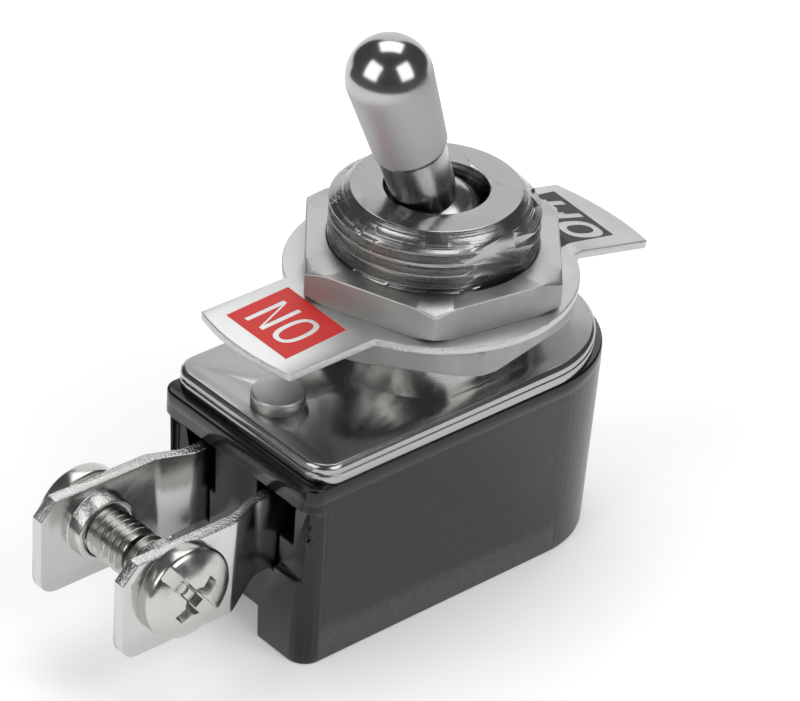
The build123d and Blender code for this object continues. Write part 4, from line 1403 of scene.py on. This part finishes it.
floor_mesh = bpy.data.meshes.new("floor")
corners = [(-FLOOR_HALF, -FLOOR_HALF, 0), (FLOOR_HALF, -FLOOR_HALF, 0)]
corners += [(FLOOR_HALF, FLOOR_HALF, 0), (-FLOOR_HALF, FLOOR_HALF, 0)]
floor_mesh.from_pydata(corners, [], [(0, 1, 2, 3)])
floor = placed("floor", floor_mesh)
floor_white, tree, surface = empty_material("white_table")
camera_ray, seen = seen_by(tree)
table_top = add(tree, "ShaderNodeBsdfDiffuse", {"Color": linear("#EFEFEF")})
lift = add(tree, "ShaderNodeMath", {0: seen, 1: 0.2}, operation="MULTIPLY")
# Past the shadow the table fades into the white surround.
place = add(tree, "ShaderNodeTexCoord").outputs["Object"]
from_centre = add(tree, "ShaderNodeVectorMath", {0: place}, operation="LENGTH")
fade = add(
    tree,
    "ShaderNodeMapRange",
    {
        "Value": from_centre.outputs["Value"],
        "From Min": FADE_START,
        "From Max": FADE_END,
        "To Min": 0.0,
        "To Max": 0.8,
    },
    interpolation_type="SMOOTHSTEP",
)
far_lift = add(
    tree,
    "ShaderNodeMath",
    {0: camera_ray, 1: fade.outputs["Result"]},
    operation="MULTIPLY",
)
glow_strength = add(tree, "ShaderNodeMath", {0: lift.outputs[0], 1: far_lift.outputs[0]})
glow = add(tree, "ShaderNodeEmission", {"Color": linear("#FFFFFF"), "Strength": glow_strength.outputs[0]})
table_mix = add(tree, "ShaderNodeAddShader", {0: table_top.outputs[0], 1: glow.outputs[0]})
tree.links.new(table_mix.outputs[0], surface)
floor_mesh.materials.append(floor_white)

world = bpy.data.worlds.new("white_surround")
bpy.context.scene.world = world
world.use_nodes = True
tree = world.node_tree
tree.nodes.clear()
_, seen = seen_by(tree)
ambient = add(tree, "ShaderNodeBackground", {"Color": linear("#FFFFFF"), "Strength": 0.5})
backdrop = add(tree, "ShaderNodeBackground", {"Color": linear("#FFFFFF"), "Strength": 1.0})
surround = add(
    tree,
    "ShaderNodeMixShader",
    {0: seen, 1: ambient.outputs[0], 2: backdrop.outputs[0]},
)
add(tree, "ShaderNodeOutputWorld", {"Surface": surround.outputs[0]})

# Seen from the lever, the camera stands to the front left and above.
AZIMUTH = radians(-42.796)
ELEVATION = radians(33.161)
ROLL = radians(3.695)
back = Vector((sin(AZIMUTH) * cos(ELEVATION), -cos(AZIMUTH) * cos(ELEVATION), sin(ELEVATION)))
level_right = Vector((cos(AZIMUTH), sin(AZIMUTH), 0))
level_up = back.cross(level_right)
right = cos(ROLL) * level_right + sin(ROLL) * level_up
up = cos(ROLL) * level_up - sin(ROLL) * level_right
camera_data = bpy.data.cameras.new("camera")
camera_data.lens = 183.15
camera_data.sensor_width = 36.0
camera_data.clip_start = 0.01
camera_data.clip_end = 20.0
camera = placed("camera", camera_data)
camera.matrix_world = Matrix(
    (
        (right.x, up.x, back.x, -0.13231),
        (right.y, up.y, back.y, -0.14079),
        (right.z, up.z, back.z, 0.13909),
        (0, 0, 0, 1),
    )
)
bpy.context.scene.camera = camera

# The dark room behind the camera: a canopy down to the table at the front, open at the back.
# Only reflections see it, so it takes no light from the switch.
dark_cloth, tree, surface = empty_material("dark_cloth")
matt = add(tree, "ShaderNodeBsdfDiffuse", {"Color": linear("#666666")})
tree.links.new(matt.outputs[0], surface)
aim = Vector((0, 0, 0.02))


def towards(turn, rise):
    """Direction at degrees of turn from the camera's azimuth, to its right, and of elevation."""
    angle = AZIMUTH + radians(turn)
    return Vector((sin(angle) * cos(radians(rise)), -cos(angle) * cos(radians(rise)), sin(radians(rise))))


# The hem rises from the table at so many degrees either way, so that the back is open.
CANOPY_R = 1.1
SIDES = 145
HEM_SLOPE = 2.2
HEM_TOP = 43
canopy_mesh = bpy.data.meshes.new("dark_canopy")
canopy_points = []
canopy_faces = []
TURNS = 72
RISES = 12
for i in range(TURNS):
    turn = i * 360 / TURNS - 180
    hem = 0 if abs(turn) < SIDES else min(HEM_TOP, (abs(turn) - SIDES) * HEM_SLOPE)
    rises = [hem + (90 - hem) * k / RISES for k in range(RISES + 1)]
    canopy_points += [tuple(aim + CANOPY_R * towards(turn, rise)) for rise in rises]
for i in range(TURNS):
    for k in range(RISES):
        a = i * (RISES + 1) + k
        b = (i + 1) % TURNS * (RISES + 1) + k
        canopy_faces.append((a, b, b + 1, a + 1))
# A low wall of the same cloth near the switch.
WALL_R = 0.11
WALL_H = 0.045
WALL_STEPS = 46
wall_start = len(canopy_points)
for i in range(WALL_STEPS + 1):
    spot = WALL_R * towards(i * 5 - 115, 0)
    canopy_points += [(spot.x, spot.y, 0.0005), (spot.x, spot.y, WALL_H)]
for i in range(WALL_STEPS):
    a = wall_start + 2 * i
    canopy_faces.append((a, a + 2, a + 3, a + 1))
canopy_mesh.from_pydata(canopy_points, [], canopy_faces)
canopy_mesh.materials.append(dark_cloth)
canopy = placed("dark_canopy", canopy_mesh)
canopy.visible_camera = False
canopy.visible_diffuse = False
canopy.visible_shadow = False

# Soft boxes: turn and elevation, width, height and power.
LAMP_R = 0.7
for name, turn, rise, wide, high, power in (
    ("soft_box_top", 180, 66, 0.55, 0.45, 1.7),
    ("soft_box_left", -53, 31, 0.5, 0.52, 1.7),
    ("soft_box_right", 52, 35, 0.46, 0.5, 1.5),
):
    lamp_data = bpy.data.lights.new(name, "AREA")
    lamp_data.shape = "RECTANGLE"
    lamp_data.size = wide
    lamp_data.size_y = high
    lamp_data.energy = power
    lamp = placed(name, lamp_data)
    direction = towards(turn, rise)
    turned = direction.to_track_quat("Z", "Y").to_matrix().to_4x4()
    lamp.matrix_world = Matrix.Translation(aim + LAMP_R * direction) @ turned

bpy.context.scene.view_settings.view_transform = "Standard"
